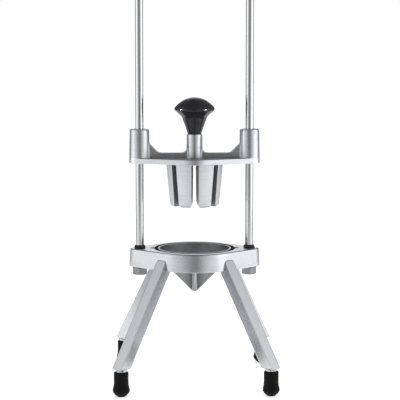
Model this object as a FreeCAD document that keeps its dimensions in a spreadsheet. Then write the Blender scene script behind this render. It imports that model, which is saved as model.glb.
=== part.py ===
"""Apple slicer wedger press, as a parametric document in millimetres.

The press stands on four rubber feet. +Z is up, +X is to the right, +Y is to the rear, and the
origin lies on the surface it stands on, midway between its two guide rods. A pusher on the
rods drives the fruit down through four blades that radiate from a hub in the base.
"""
import FreeCAD, Part
import math
import operator
import os
from types import SimpleNamespace

import Sketcher

SHEET = "Dims"

# Name, value and meaning of every driving dimension. Heights are above the floor.
DIMENSIONS = [
    ("rod_offset", 68.0, "axis of each guide rod from the middle, along X"),
    ("rod_radius", 5.0, "guide rod, M10 thread at its lower end"),
    ("rod_top", 474.5, "top end of the guide rods"),
    ("rod_chamfer", 1.0, "chamfer on the ends of the rods"),
    ("rod_proud", 1.0, "thread that stands out below the nut"),
    ("thread_gap", 0.02, "radial gap of threaded and bonded fits"),

    ("base_top", 166.4, "top face of the base casting"),
    ("base_height", 22.2, "height of the base casting"),
    ("base_ring_radius", 58.0, "outside of the casting's ring, at the top"),
    ("base_lobe_radius", 12.0, "outside of the lobe round each rod, at the top"),
    ("base_draft", 3.9, "draft of the casting's sides, degrees"),
    ("base_bevel", 0.8, "bevel round the top edge"),

    ("blade_ring_radius", 45.3, "outside of the ring that carries the blades"),
    ("blade_ring_wall", 2.0, "wall of that ring"),
    ("blade_ring_height", 15.4, "height of that ring, flush with the base"),
    ("blade_ring_gap", 0.2, "gap between the blade ring and its bore"),
    ("blade_thickness", 0.9, "blade sheet"),
    ("blade_foot", 152.8, "lower edge of a blade at the ring"),
    ("blade_shoulder", 163.0, "upper edge of a blade at the ring"),
    ("blade_heel", 112.8, "lower edge of a blade at the hub"),
    ("blade_crest", 134.0, "upper edge of a blade at the hub"),
    ("blade_bevel_face", 1.8, "height of the ground faces at the cutting edge"),
    ("blade_land", 0.1, "width left at the cutting edge"),
    ("blade_gap", 0.05, "gap round a blade in its slots"),
    ("tab_low", 157.6, "lower edge of a blade's tab in the ring"),
    ("tab_height", 3.6, "height of that tab"),
    ("hub_radius", 3.5, "hub that the blades meet at"),
    ("hub_bottom", 112.0, "bottom of the hub"),
    ("hub_tip", 160.5, "point of the hub"),
    ("hub_point_length", 8.0, "length of the hub's tapered point"),
    ("hub_tip_radius", 0.4, "blunt end of that point"),
    ("hub_slot_depth", 0.8, "depth of the hub's slots for the blades"),

    ("gasket_width", 4.1, "radial width of the rubber gasket"),
    ("gasket_thickness", 2.5, "thickness of the gasket"),
    ("gasket_gap", 0.1, "gap round the gasket in its recess"),
    ("gasket_ear_radius", 4.2, "rounded ear at each end of the gasket"),
    ("gasket_ear_reach", 1.4, "centre of each ear beyond the gasket's band"),
    ("gasket_round", 0.5, "rounded upper edges of the gasket"),
    ("recess_bevel", 0.8, "bevel round the gasket's recess"),

    ("bumper_radius", 7.0, "outside of the rubber bumper on each rod"),
    ("bumper_height", 4.1, "height of the bumper"),
    ("bumper_round", 1.0, "rounding of the bumper"),
    ("bumper_gap", 0.05, "radial gap of the bumper on its rod"),

    ("washer_radius", 10.0, "washer under each lobe"),
    ("washer_thickness", 1.6, "thickness of the washer"),
    ("washer_gap", 0.25, "radial gap of the washer on its rod"),
    ("nut_flats", 17.0, "width of the rod nut across its flats"),
    ("nut_height", 9.0, "height of the rod nut"),
    ("nut_chamfer", 1.0, "height of the turned chamfer on the nut's corners"),
    ("nut_turn", 25.0, "turn of the left nut's corner from the X axis, degrees"),

    ("stance_half_width", 90.0, "centre of each foot from the middle, along X and along Y"),
    ("foot_radius", 9.0, "body of the rubber foot"),
    ("foot_flare_radius", 10.45, "widest part of the foot"),
    ("foot_flare_height", 7.0, "height of that widest part"),
    ("foot_waist", 15.8, "height where the flare starts"),
    ("foot_pad_radius", 3.6, "flat patch that the foot stands on"),
    ("foot_height", 30.2, "height of the rubber foot"),
    ("foot_lip", 0.8, "rounding of the foot's upper edge"),
    ("spigot_radius", 4.0, "leg spigot inside the foot"),
    ("spigot_bottom", 12.0, "end of the spigot"),
    ("neck_radius", 6.5, "round neck between leg and foot"),

    ("leg_width", 15.0, "width of the square leg"),
    ("leg_depth", 17.5, "depth of the leg, level and outward"),
    ("leg_bottom", 33.0, "level cut at the foot of the leg"),
    ("leg_bottom_bevel", 1.2, "bevel round that cut"),
    ("leg_shoulder_radius", 58.2, "outer face of the leg at its top end, from the middle"),
    ("leg_top_drop", 9.6, "top end of the leg below the base's top face"),
    ("leg_corner", 3.4, "rounded corners of the leg's top end"),
    ("socket_wall", 5.0, "wall between the blade ring's bore and a leg's socket"),
    ("socket_gap", 0.1, "gap round the leg in its socket"),
    ("tenon_depth", 5.0, "radial depth of the leg's tenon"),
    ("tenon_width", 8.0, "width of the tenon"),
    ("tenon_drop", 4.2, "top of the tenon below the base's top face"),

    ("leg_screw_drop", 9.2, "axis of the leg screw below the base's top face"),
    ("leg_screw_radius", 2.0, "M4 leg screw"),
    ("leg_screw_head", 3.9, "radius of its countersunk head"),
    ("leg_screw_length", 9.0, "length of the leg screw"),
    ("leg_screw_sunk", 0.3, "depth of the head below the bore"),
    ("screw_gap", 0.25, "radial gap of a screw in its clearance hole"),
    ("driver_depth", 1.4, "depth of the hexagon socket in a screw"),
    ("driver_ratio", 0.62, "socket's corner radius over the shank's radius"),

    ("boss_radius", 12.1, "top of the pusher's boss on each rod"),
    ("boss_draft", 1.0, "draft of the boss, degrees"),
    ("boss_bottom", 272.0, "lower face of the bosses"),
    ("boss_height", 43.0, "height of the bosses"),
    ("boss_chamfer", 0.8, "chamfer at the lower end of a boss"),
    ("boss_shoulder", 2.6, "width of the rounded shoulder at a boss's top"),
    ("boss_shoulder_drop", 1.3, "height of that shoulder"),
    ("plate_radius", 38.0, "middle of the pusher's plate"),
    ("plate_lobe_radius", 12.6, "ends of the plate round the bosses"),
    ("plate_rise", 0.8, "plate's lower face above the bosses' lower face"),
    ("plate_thickness", 6.8, "thickness of the plate"),
    ("plate_round", 1.0, "rounding of the plate's upper edge"),
    ("rib_width", 8.0, "rib along the plate's top"),
    ("rib_height", 5.7, "height of the rib above the plate"),
    ("rib_round", 1.2, "rounded upper edges of the rib"),
    ("gusset_reach", 24.2, "foot of a gusset from the rod's axis"),
    ("gusset_fillet", 8.0, "fillet at the foot of a gusset"),
    ("post_radius", 9.8, "top of the post under the knob"),
    ("post_foot_radius", 9.9, "bottom of that post"),
    ("post_height", 28.8, "top of the post above the plate's top face"),
    ("post_fillet", 7.0, "fillet between the post and the rib"),

    ("bush_wall", 2.0, "wall of a guide bush"),
    ("bush_length", 12.0, "length of a guide bush"),
    ("bush_inset", 1.0, "depth of a bush inside the end of its boss"),
    ("bush_gap", 0.05, "running gap between bush and rod"),
    ("bore_relief", 0.5, "boss bore beyond the rod between its bushes"),

    ("block_radius", 35.6, "disc at the top of the push block"),
    ("block_disc", 4.0, "thickness of the disc, let into the plate"),
    ("block_gap", 0.15, "gap round the disc in the plate"),
    ("block_bottom", 220.0, "lower end of the fingers"),
    ("block_end_radius", 30.8, "outside of the fingers at their lower end"),
    ("block_end_bevel", 1.6, "bevel at the lower end of the fingers"),
    ("block_bore", 6.0, "radius of the bore that the blade hub enters"),
    ("slot_axis_width", 3.0, "gap between fingers, carried on to the block's axis"),
    ("slot_rim_width", 10.9, "main gap between fingers, just past the disc's edge"),
    ("slot_side_width", 9.2, "slanting gap between fingers, just past the disc's edge"),
    ("slot_side_angle", 42.0, "slanting gap from the X axis, degrees"),
    ("slot_draft", 0.65, "draft of the gaps, degrees"),
    ("slot_flare", 1.2, "widening of each side of a gap at its lower end"),
    ("slot_flare_height", 4.0, "height of that widening"),
    ("slot_count", 4, "main gaps, one for each blade"),
    ("block_screw_circle", 24.0, "circle of the push block's screws"),
    ("block_screw_angle", 22.5, "first screw from the Y axis, degrees"),
    ("block_screw_radius", 2.0, "M4 push block screw"),
    ("block_screw_head", 3.9, "radius of its countersunk head"),
    ("block_screw_length", 14.0, "length of that screw"),

    ("knob_height", 45.6, "height of the knob"),
    ("knob_radius", 24.95, "rim of the knob"),
    ("knob_rim_low", 29.9, "lower edge of the rim above the knob's foot"),
    ("knob_rim_high", 32.4, "upper edge of the rim above the knob's foot"),
    ("knob_dome_radius", 30.1, "radius of the knob's domed top"),
    ("knob_crown", 0.3, "small flat at the top of the dome"),
    ("knob_neck_radius", 14.7, "knob where its neck starts"),
    ("knob_neck_height", 19.4, "height of the neck"),
    ("knob_foot_radius", 8.3, "foot of the knob"),
    ("knob_rim_round", 1.0, "rounding under the rim"),
    ("insert_radius", 6.0, "brass insert in the knob"),
    ("insert_length", 16.0, "length of the insert"),
    ("stud_radius", 4.0, "M8 stud between post and knob"),
    ("stud_in_post", 13.0, "length of the stud in the post"),
    ("stud_in_knob", 14.0, "length of the stud in the knob"),
    ("blind_clearance", 1.0, "room past the end of a stud or spigot"),
]

OPERATIONS = {"+": operator.add, "-": operator.sub, "*": operator.mul, "/": operator.truediv}


class Size:
    """A number together with the sheet formula that it comes from."""

    def __init__(self, value, formula):
        self.value = float(value)
        self.formula = formula

    def __add__(self, other):
        return combine(self, "+", other)

    def __radd__(self, other):
        return combine(other, "+", self)

    def __sub__(self, other):
        return combine(self, "-", other)

    def __rsub__(self, other):
        return combine(other, "-", self)

    def __mul__(self, other):
        return combine(self, "*", other)

    def __rmul__(self, other):
        return combine(other, "*", self)

    def __truediv__(self, other):
        return combine(self, "/", other)

    def __rtruediv__(self, other):
        return combine(other, "/", self)

    def __neg__(self):
        return combine(0, "-", self)


def as_size(value):
    """The value itself, or a plain number turned into a Size."""
    if isinstance(value, Size):
        return value
    return Size(value, repr(value))


def combine(first, sign, second):
    """The Size of a sum, difference, product or quotient."""
    first = as_size(first)
    second = as_size(second)
    value = OPERATIONS[sign](first.value, second.value)
    return Size(value, f"({first.formula} {sign} {second.formula})")


def root(size):
    """The square root of a size."""
    size = as_size(size)
    return Size(math.sqrt(size.value), f"sqrt({size.formula})")


def sine(angle):
    """The sine of an angle in degrees."""
    angle = as_size(angle)
    return Size(math.sin(math.radians(angle.value)), f"sin({angle.formula} * 1 deg)")


def cosine(angle):
    """The cosine of an angle in degrees."""
    angle = as_size(angle)
    return Size(math.cos(math.radians(angle.value)), f"cos({angle.formula} * 1 deg)")


def arc_tangent(ratio):
    """The angle in degrees whose tangent is this ratio."""
    return Size(math.degrees(math.atan(ratio.value)), f"(atan({ratio.formula}) / 1 deg)")


def bind(target, path, size):
    """Ties one property of an object to its size."""
    target.setExpression(path, as_size(size).formula)


def make_sheet(document):
    """Writes the driving dimensions and returns them by name."""
    sheet = document.addObject("Spreadsheet::Sheet", SHEET)
    named = {}
    for row, (name, value, meaning) in enumerate(DIMENSIONS, start=1):
        sheet.set(f"A{row}", name)
        sheet.set(f"B{row}", repr(value))
        sheet.set(f"C{row}", meaning)
        sheet.setAlias(f"B{row}", name)
        named[name] = Size(value, f"{SHEET}.{name}")
    document.recompute()
    return SimpleNamespace(**named)


doc = FreeCAD.newDocument("AppleWedgerPress")
dim = make_sheet(doc)
pieces = []

# Levels and radii that several pieces share.
base_bottom = dim.base_top - dim.base_height
washer_bottom = base_bottom - dim.washer_thickness
nut_bottom = washer_bottom - dim.nut_height
rod_bottom = nut_bottom - dim.rod_proud
ring_inner = dim.blade_ring_radius - dim.blade_ring_wall
ring_bottom = dim.base_top - dim.blade_ring_height
ring_bore = dim.blade_ring_radius + dim.blade_ring_gap
gasket_bottom = dim.base_top - dim.gasket_thickness
gasket_inner = ring_bore
gasket_outer = gasket_inner + dim.gasket_width
gasket_ear = gasket_outer + dim.gasket_ear_reach
foot_circle = dim.stance_half_width * root(2)
leg_top = dim.base_top - dim.leg_top_drop
tenon_top = dim.base_top - dim.tenon_drop
socket_inner = ring_bore + dim.socket_wall
tenon_outer = socket_inner + dim.tenon_depth
leg_bottom_outer = foot_circle + dim.leg_depth / 2
leg_lean = (leg_bottom_outer - dim.leg_shoulder_radius) / (leg_top - dim.leg_bottom)
leg_screw_level = dim.base_top - dim.leg_screw_drop
leg_screw_start = ring_bore + dim.leg_screw_sunk
boss_top = dim.boss_bottom + dim.boss_height
plate_bottom = dim.boss_bottom + dim.plate_rise
plate_top = plate_bottom + dim.plate_thickness
rib_top = plate_top + dim.rib_height
post_top = plate_top + dim.post_height
block_top = plate_bottom + dim.block_disc
knob_bottom = post_top
knob_top = knob_bottom + dim.knob_height
bush_radius = dim.rod_radius + dim.bush_gap + dim.bush_wall


def origin_feature(body, role):
    """The origin plane or axis of a body that has this role."""
    return next(item for item in body.Origin.OriginFeatures if item.Role == role)


def new_body(name, separate=False):
    """A body whose label is the name of its node; separate lets it hold several solids."""
    body = doc.addObject("PartDesign::Body", name)
    body.Label = name
    body.AllowCompound = separate
    pieces.append(body)
    return body


def place(body, across=0, back=0, up=0, turn=0):
    """Moves a body to its place and turns it about Z by a number of degrees."""
    body.Placement = FreeCAD.Placement(
        FreeCAD.Vector(as_size(across).value, as_size(back).value, as_size(up).value),
        FreeCAD.Rotation(FreeCAD.Vector(0, 0, 1), turn))
    bind(body, "Placement.Base.x", across)
    bind(body, "Placement.Base.y", back)
    bind(body, "Placement.Base.z", up)


def new_sketch(body, role, name, shift=(0, 0, 0), turn=0):
    """A sketch on an origin plane, moved by shift in that plane's own axes and turned about Z."""
    upright = {"XY_Plane": (0, 0, 1), "XZ_Plane": (0, 1, 0), "YZ_Plane": (0, 1, 0)}[role]
    sketch = body.newObject("Sketcher::SketchObject", name)
    sketch.AttachmentSupport = [(origin_feature(body, role), "")]
    sketch.MapMode = "FlatFace"
    sketch.AttachmentOffset = FreeCAD.Placement(
        FreeCAD.Vector(*[as_size(item).value for item in shift]),
        FreeCAD.Rotation(FreeCAD.Vector(*upright), as_size(turn).value))
    for axis, item in zip("xyz", shift):
        if isinstance(item, Size):
            bind(sketch, f"AttachmentOffset.Base.{axis}", item)
    if isinstance(turn, Size):
        bind(sketch, "AttachmentOffset.Rotation.Angle", turn)
    return sketch


def fix(sketch, kind, geometry, corner, size, name):
    """Ties one coordinate of a point to its size, or to the sketch's axis where it is 0."""
    if not isinstance(size, Size) and size == 0:
        axis = -2 if kind == "DistanceX" else -1
        sketch.addConstraint(Sketcher.Constraint("PointOnObject", geometry, corner, axis))
        return
    size = as_size(size)
    index = sketch.addConstraint(
        Sketcher.Constraint(kind, -1, 1, geometry, corner, size.value))
    sketch.renameConstraint(index, name)
    bind(sketch, f"Constraints.{name}", size)


def fix_radius(sketch, geometry, size, name):
    """Ties the radius of a circle or arc to its size."""
    size = as_size(size)
    index = sketch.addConstraint(Sketcher.Constraint("Radius", geometry, size.value))
    sketch.renameConstraint(index, name)
    bind(sketch, f"Constraints.{name}", size)


def arc_between(start, finish, radius, turn):
    """The arc from start to finish that turns left or right with this radius."""
    chord = finish - start
    side = FreeCAD.Vector(-chord.y, chord.x, 0).normalize()
    if turn == "right":
        side = -side
    height = math.sqrt(max(radius * radius - chord.Length * chord.Length / 4, 0.0))
    centre = (start + finish) * 0.5 + side * height
    circle = Part.Circle(centre, FreeCAD.Vector(0, 0, 1), radius)
    first = math.atan2(start.y - centre.y, start.x - centre.x)
    last = math.atan2(finish.y - centre.y, finish.x - centre.x)
    if turn == "right":
        first, last = last, first
    return Part.ArcOfCircle(circle, first, last)


def draw(sketch, points):
    """Draws a closed outline through the points and ties every coordinate to its size.

    A point is (x, y), or (x, y, turn, radius) where the stretch that follows is an arc.
    """
    places = [FreeCAD.Vector(as_size(point[0]).value, as_size(point[1]).value, 0)
              for point in points]
    corners = []
    for index, point in enumerate(points):
        start = places[index]
        finish = places[(index + 1) % len(points)]
        if len(point) == 2:
            sketch.addGeometry(Part.LineSegment(start, finish))
            corners.append((1, 2))
        else:
            turn, radius = point[2:]
            sketch.addGeometry(arc_between(start, finish, as_size(radius).value, turn))
            corners.append((1, 2) if turn == "left" else (2, 1))
    for index, point in enumerate(points):
        after = (index + 1) % len(points)
        sketch.addConstraint(Sketcher.Constraint(
            "Coincident", index, corners[index][1], after, corners[after][0]))
        fix(sketch, "DistanceX", index, corners[index][0], point[0], f"across{index}")
        fix(sketch, "DistanceY", index, corners[index][0], point[1], f"up{index}")
        if len(point) > 2:
            fix_radius(sketch, index, point[3], f"radius{index}")


def draw_circle(sketch, across, up, radius):
    """Draws one circle."""
    centre = FreeCAD.Vector(as_size(across).value, as_size(up).value, 0)
    sketch.addGeometry(Part.Circle(centre, FreeCAD.Vector(0, 0, 1), as_size(radius).value))
    fix(sketch, "DistanceX", 0, 3, across, "across")
    fix(sketch, "DistanceY", 0, 3, up, "up")
    fix_radius(sketch, 0, radius, "radius")


def draw_lens(sketch, middle_radius, end_radius, end_offset):
    """Draws a circle in the middle and a smaller one at each end, joined by tangent lines."""
    middle = middle_radius.value
    end = end_radius.value
    offset = end_offset.value
    lean = math.acos((middle - end) / offset)
    up = FreeCAD.Vector(0, 0, 1)

    def rim(centre, radius, angle):
        return FreeCAD.Vector(centre + radius * math.cos(angle), radius * math.sin(angle), 0)

    rounds = [(offset, end, -lean, lean), (0.0, middle, lean, math.pi - lean),
              (-offset, end, math.pi - lean, math.pi + lean),
              (0.0, middle, math.pi + lean, 2 * math.pi - lean)]
    for index, (centre, radius, first, last) in enumerate(rounds):
        circle = Part.Circle(FreeCAD.Vector(centre, 0, 0), up, radius)
        sketch.addGeometry(Part.ArcOfCircle(circle, first, last))
        next_centre, next_radius, next_first, _ = rounds[(index + 1) % len(rounds)]
        sketch.addGeometry(Part.LineSegment(
            rim(centre, radius, last), rim(next_centre, next_radius, next_first)))
    for index in range(len(rounds)):
        arc = 2 * index
        after = (arc + 2) % (2 * len(rounds))
        sketch.addConstraint(Sketcher.Constraint("Tangent", arc, 2, arc + 1, 1))
        sketch.addConstraint(Sketcher.Constraint("Tangent", arc + 1, 2, after, 1))
    for arc, radius, centre, name in ((0, end_radius, end_offset, "right"),
                                      (2, middle_radius, 0, "rear"),
                                      (4, end_radius, -end_offset, "left"),
                                      (6, middle_radius, 0, "front")):
        fix_radius(sketch, arc, radius, f"{name}_radius")
        fix(sketch, "DistanceX", arc, 3, centre, f"{name}_centre")
        fix(sketch, "DistanceY", arc, 3, 0, f"{name}_level")


def pad(body, name, sketch, length, symmetric=False, reverse=False, taper=None):
    """Extrudes a sketch into material."""
    feature = body.newObject("PartDesign::Pad", name)
    return set_up_extrusion(feature, sketch, length, symmetric, reverse, taper)


def pocket(body, name, sketch, length, symmetric=False, reverse=False, taper=None):
    """Extrudes a sketch into a cut, against the sketch's normal unless reversed."""
    feature = body.newObject("PartDesign::Pocket", name)
    return set_up_extrusion(feature, sketch, length, symmetric, reverse, taper)


def set_up_extrusion(feature, sketch, length, symmetric, reverse, taper):
    """Gives a pad or pocket its outline, length, side and draft."""
    feature.Profile = sketch
    feature.SideType = "Symmetric" if symmetric else "One side"
    feature.Reversed = reverse
    feature.Length = as_size(length).value
    bind(feature, "Length", length)
    if taper is not None:
        bind(feature, "TaperAngle", taper)
    return feature


def turned(body, name, points, role="XZ_Plane", shift=(0, 0, 0), turn=0, axis="V_Axis",
           cut=False):
    """Turns an outline about the sketch's own upright or level axis."""
    sketch = new_sketch(body, role, f"{name}_outline", shift, turn)
    draw(sketch, points)
    kind = "Groove" if cut else "Revolution"
    feature = body.newObject(f"PartDesign::{kind}", name)
    feature.Profile = sketch
    feature.ReferenceAxis = (sketch, [axis])
    feature.Angle = 360
    return feature


def around(body, name, features, count, angle=360):
    """Repeats features about the body's Z axis."""
    pattern = body.newObject("PartDesign::PolarPattern", name)
    pattern.Originals = features
    pattern.Axis = (origin_feature(body, "Z_Axis"), [""])
    pattern.Angle = as_size(angle).value
    pattern.Occurrences = int(as_size(count).value)
    if isinstance(angle, Size):
        bind(pattern, "Angle", angle)
    if isinstance(count, Size):
        bind(pattern, "Occurrences", count)
    body.Tip = pattern
    return pattern


def mirrored(body, name, features, role):
    """Repeats features on the other side of an origin plane."""
    mirror = body.newObject("PartDesign::Mirrored", name)
    mirror.Originals = features
    mirror.MirrorPlane = (origin_feature(body, role), [""])
    body.Tip = mirror
    return mirror


def edges_where(feature, test):
    """Names of the feature's edges whose ends and middle all pass the test."""
    doc.recompute()
    names = []
    for number, edge in enumerate(feature.Shape.Edges, start=1):
        first, last = edge.ParameterRange
        spots = [edge.valueAt(first), edge.valueAt((first + last) / 2), edge.valueAt(last)]
        if all(test(spot) for spot in spots):
            names.append(f"Edge{number}")
    return names


def rounded(body, name, feature, test, radius):
    """Fillets the edges that pass the test."""
    fillet = body.newObject("PartDesign::Fillet", name)
    fillet.Base = (feature, edges_where(feature, test))
    bind(fillet, "Radius", radius)
    return fillet


def bevelled(body, name, feature, test, size):
    """Chamfers the edges that pass the test."""
    chamfer = body.newObject("PartDesign::Chamfer", name)
    chamfer.Base = (feature, edges_where(feature, test))
    bind(chamfer, "Size", size)
    return chamfer


def near(first, second):
    """Whether two lengths are equal but for rounding."""
    return abs(first - as_size(second).value) < 1e-4


def ring_outline(inner, outer, low, high):
    """Four corners of a plain ring's section."""
    return [(inner, low), (outer, low), (outer, high), (inner, high)]


def make_base_frame():
    """The base casting: lens-shaped, with the blade bore, gasket recess and leg sockets."""
    body = new_body("base_frame")
    plan = new_sketch(body, "XY_Plane", "plan", (0, 0, dim.base_top))
    draw_lens(plan, dim.base_ring_radius, dim.base_lobe_radius, dim.rod_offset)
    casting = pad(body, "casting", plan, dim.base_height, reverse=True, taper=dim.base_draft)
    bevelled(body, "top_bevel", casting, lambda spot: near(spot.z, dim.base_top),
             dim.base_bevel)
    floor = base_bottom - dim.blind_clearance
    ceiling = dim.base_top + dim.blind_clearance
    turned(body, "ledge_bore", [(0, floor), (ring_inner, floor), (ring_inner, ceiling),
                                (0, ceiling)], cut=True)
    turned(body, "blade_bore", [(0, ring_bottom), (ring_bore, ring_bottom),
                                (ring_bore, ceiling), (0, ceiling)], cut=True)
    recess = gasket_outer + dim.gasket_gap
    bevel = dim.recess_bevel
    turned(body, "gasket_recess",
           [(0, gasket_bottom), (recess, gasket_bottom), (recess, dim.base_top - bevel),
            (recess + bevel + dim.blind_clearance, ceiling), (0, ceiling)], cut=True)
    ear = new_sketch(body, "XY_Plane", "ear_plan", (0, 0, gasket_bottom))
    draw_circle(ear, gasket_ear, 0, dim.gasket_ear_radius + dim.gasket_gap)
    ear_cut = pocket(body, "ear_recess", ear, dim.gasket_thickness + dim.blind_clearance,
                     reverse=True)
    around(body, "ear_recesses", [ear_cut], 2)
    rod = new_sketch(body, "XY_Plane", "rod_plan", (0, 0, base_bottom))
    draw_circle(rod, dim.rod_offset, 0, dim.rod_radius + dim.thread_gap)
    rod_cut = pocket(body, "rod_hole", rod, dim.base_height, reverse=True)
    around(body, "rod_holes", [rod_cut], 2)
    around(body, "leg_sockets", make_leg_socket(body), 4)
    return body


def make_leg_socket(body):
    """One leg's socket in the base: the notch for the bar, the tenon's pocket and the screw."""
    half_turn = cosine(45)
    corner = socket_inner * half_turn
    half = dim.leg_width / 2 + dim.socket_gap
    round_off = dim.leg_corner + dim.socket_gap
    low = base_bottom - dim.blind_clearance
    high = leg_top + dim.socket_gap
    notch = new_sketch(body, "YZ_Plane", "notch_face", (corner, 0, corner), 45)
    draw(notch, [(-half, low), (half, low), (half, high - round_off, "left", round_off),
                 (half - round_off, high), (round_off - half, high, "left", round_off),
                 (-half, high - round_off)])
    through = dim.base_ring_radius - socket_inner + dim.leg_depth / 2
    notch_cut = pocket(body, "notch", notch, through, reverse=True)
    slot_half = dim.tenon_width / 2 + dim.socket_gap
    slot_top = tenon_top + dim.socket_gap
    slot = new_sketch(body, "YZ_Plane", "tenon_face", (corner, 0, corner), 45)
    draw(slot, [(-slot_half, low), (slot_half, low), (slot_half, slot_top),
                (-slot_half, slot_top)])
    slot_cut = pocket(body, "tenon_slot", slot, dim.tenon_depth + dim.socket_gap,
                      reverse=True)
    hole = dim.leg_screw_radius + dim.screw_gap
    mouth = dim.leg_screw_head + dim.screw_gap
    seat = leg_screw_start
    screw_cut = turned(
        body, "screw_seat",
        [(ring_inner, 0), (socket_inner + dim.socket_gap, 0),
         (socket_inner + dim.socket_gap, hole), (seat + mouth - hole, hole),
         (seat, mouth), (ring_inner, mouth)],
        role="XY_Plane", shift=(0, 0, leg_screw_level), turn=45, axis="H_Axis", cut=True)
    return [notch_cut, slot_cut, screw_cut]


def make_rod(name, side):
    """A ground guide rod; its lower end is screwed into the base."""
    body = new_body(name)
    chamfer = dim.rod_chamfer
    turned(body, "rod", [(0, rod_bottom), (dim.rod_radius - chamfer, rod_bottom),
                         (dim.rod_radius, rod_bottom + chamfer),
                         (dim.rod_radius, dim.rod_top - chamfer),
                         (dim.rod_radius - chamfer, dim.rod_top), (0, dim.rod_top)])
    place(body, across=side * dim.rod_offset)
    return body


def make_bumper(name, side):
    """A rubber ring that the pusher lands on."""
    body = new_body(name)
    inner = dim.rod_radius + dim.bumper_gap
    outer = dim.bumper_radius
    soft = dim.bumper_round
    low = dim.base_top
    high = dim.base_top + dim.bumper_height
    turned(body, "bumper", [(inner, low), (outer - soft, low, "left", soft),
                            (outer, low + soft), (outer, high - soft, "left", soft),
                            (outer - soft, high), (inner, high)])
    place(body, across=side * dim.rod_offset)
    return body


def make_washer(name, side):
    """The plain washer under a lobe of the base."""
    body = new_body(name)
    turned(body, "washer", ring_outline(dim.rod_radius + dim.washer_gap, dim.washer_radius,
                                        washer_bottom, base_bottom))
    place(body, across=side * dim.rod_offset)
    return body


def make_nut(name, turn):
    """The hexagon nut that locks a rod under the base, turned as it was tightened."""
    body = new_body(name)
    flats = dim.nut_flats / 2
    corner = flats / cosine(30)
    plan = new_sketch(body, "XY_Plane", "hexagon", (0, 0, nut_bottom), turn)
    draw(plan, [(corner, 0), (corner / 2, flats), (-corner / 2, flats), (-corner, 0),
                (-corner / 2, -flats), (corner / 2, -flats)])
    pad(body, "blank", plan, dim.nut_height)
    shave = dim.nut_chamfer
    outer = corner + dim.blind_clearance
    turned(body, "lower_chamfer", [(flats, nut_bottom - shave), (outer, nut_bottom - shave),
                                   (outer, nut_bottom + shave), (corner, nut_bottom + shave),
                                   (flats, nut_bottom)], cut=True)
    turned(body, "upper_chamfer",
           [(flats, washer_bottom), (corner, washer_bottom - shave),
            (outer, washer_bottom - shave), (outer, washer_bottom + shave),
            (flats, washer_bottom + shave)], cut=True)
    bore = new_sketch(body, "XY_Plane", "thread", (0, 0, nut_bottom))
    draw_circle(bore, 0, 0, dim.rod_radius + dim.thread_gap)
    pocket(body, "bore", bore, dim.nut_height, reverse=True)
    return body


def make_leg(name, turn):
    """A square leg that leans outward, with a tenon at its top and a spigot for its foot."""
    body = new_body(name)
    outer_at_base = dim.leg_shoulder_radius + leg_lean * (leg_top - base_bottom)
    inner_at_base = outer_at_base - dim.leg_depth
    side_view = new_sketch(body, "XZ_Plane", "side_view")
    draw(side_view, [(leg_bottom_outer - dim.leg_depth, dim.leg_bottom),
                     (leg_bottom_outer, dim.leg_bottom),
                     (dim.leg_shoulder_radius, leg_top),
                     (socket_inner, leg_top),
                     (socket_inner, base_bottom),
                     (inner_at_base, base_bottom)])
    bar = pad(body, "bar", side_view, dim.leg_width, symmetric=True)
    half = dim.leg_width.value / 2
    soft = rounded(body, "top_corners", bar,
                   lambda spot: near(spot.z, leg_top) and near(abs(spot.y), half),
                   dim.leg_corner)
    cut = bevelled(body, "bottom_bevel", soft, lambda spot: near(spot.z, dim.leg_bottom),
                   dim.leg_bottom_bevel)
    tenon = new_sketch(body, "XZ_Plane", "tenon_view")
    draw(tenon, [(socket_inner, base_bottom), (tenon_outer, base_bottom),
                 (tenon_outer, tenon_top), (socket_inner, tenon_top)])
    pad(body, "tenon", tenon, dim.tenon_width, symmetric=True)
    turned(body, "spigot",
           [(0, dim.spigot_bottom), (dim.spigot_radius, dim.spigot_bottom),
            (dim.spigot_radius, dim.foot_height), (dim.neck_radius, dim.foot_height),
            (dim.neck_radius, dim.leg_bottom + dim.leg_bottom_bevel),
            (0, dim.leg_bottom + dim.leg_bottom_bevel)], shift=(foot_circle, 0, 0))
    hole = dim.leg_screw_radius + dim.thread_gap
    turned(body, "screw_hole",
           [(socket_inner - dim.blind_clearance, 0),
            (tenon_outer + dim.blind_clearance, 0),
            (tenon_outer + dim.blind_clearance, hole),
            (socket_inner - dim.blind_clearance, hole)],
           role="XY_Plane", shift=(0, 0, leg_screw_level), axis="H_Axis", cut=True)
    place(body, turn=turn)
    return body


def upright_arc(across, up):
    """Radius of the arc that covers this step and is upright at one end."""
    return (across * across + up * up) / (across * 2)


def make_foot(name, side, depth):
    """A rubber foot with a flared sole, pushed over the leg's spigot."""
    body = new_body(name)
    bore = dim.spigot_radius + dim.thread_gap
    bore_end = dim.spigot_bottom - dim.blind_clearance
    lip = dim.foot_lip
    sole = upright_arc(dim.foot_flare_radius - dim.foot_pad_radius, dim.foot_flare_height)
    half_in = (dim.foot_flare_radius - dim.foot_radius) / 2
    half_up = (dim.foot_waist - dim.foot_flare_height) / 2
    swell = upright_arc(half_in, half_up)
    turned(body, "foot",
           [(0, 0), (dim.foot_pad_radius, 0, "left", sole),
            (dim.foot_flare_radius, dim.foot_flare_height, "left", swell),
            (dim.foot_radius + half_in, dim.foot_waist - half_up, "right", swell),
            (dim.foot_radius, dim.foot_waist),
            (dim.foot_radius, dim.foot_height - lip, "left", lip),
            (dim.foot_radius - lip, dim.foot_height), (bore, dim.foot_height),
            (bore, bore_end), (0, bore_end)])
    place(body, across=side * dim.stance_half_width, back=depth * dim.stance_half_width)
    return body


def countersunk(start, shank, head, length):
    """Half section of a countersunk screw along its axis, head first."""
    return [(start, 0), (start + length, 0), (start + length, shank),
            (start + head - shank, shank), (start, head)]


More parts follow.
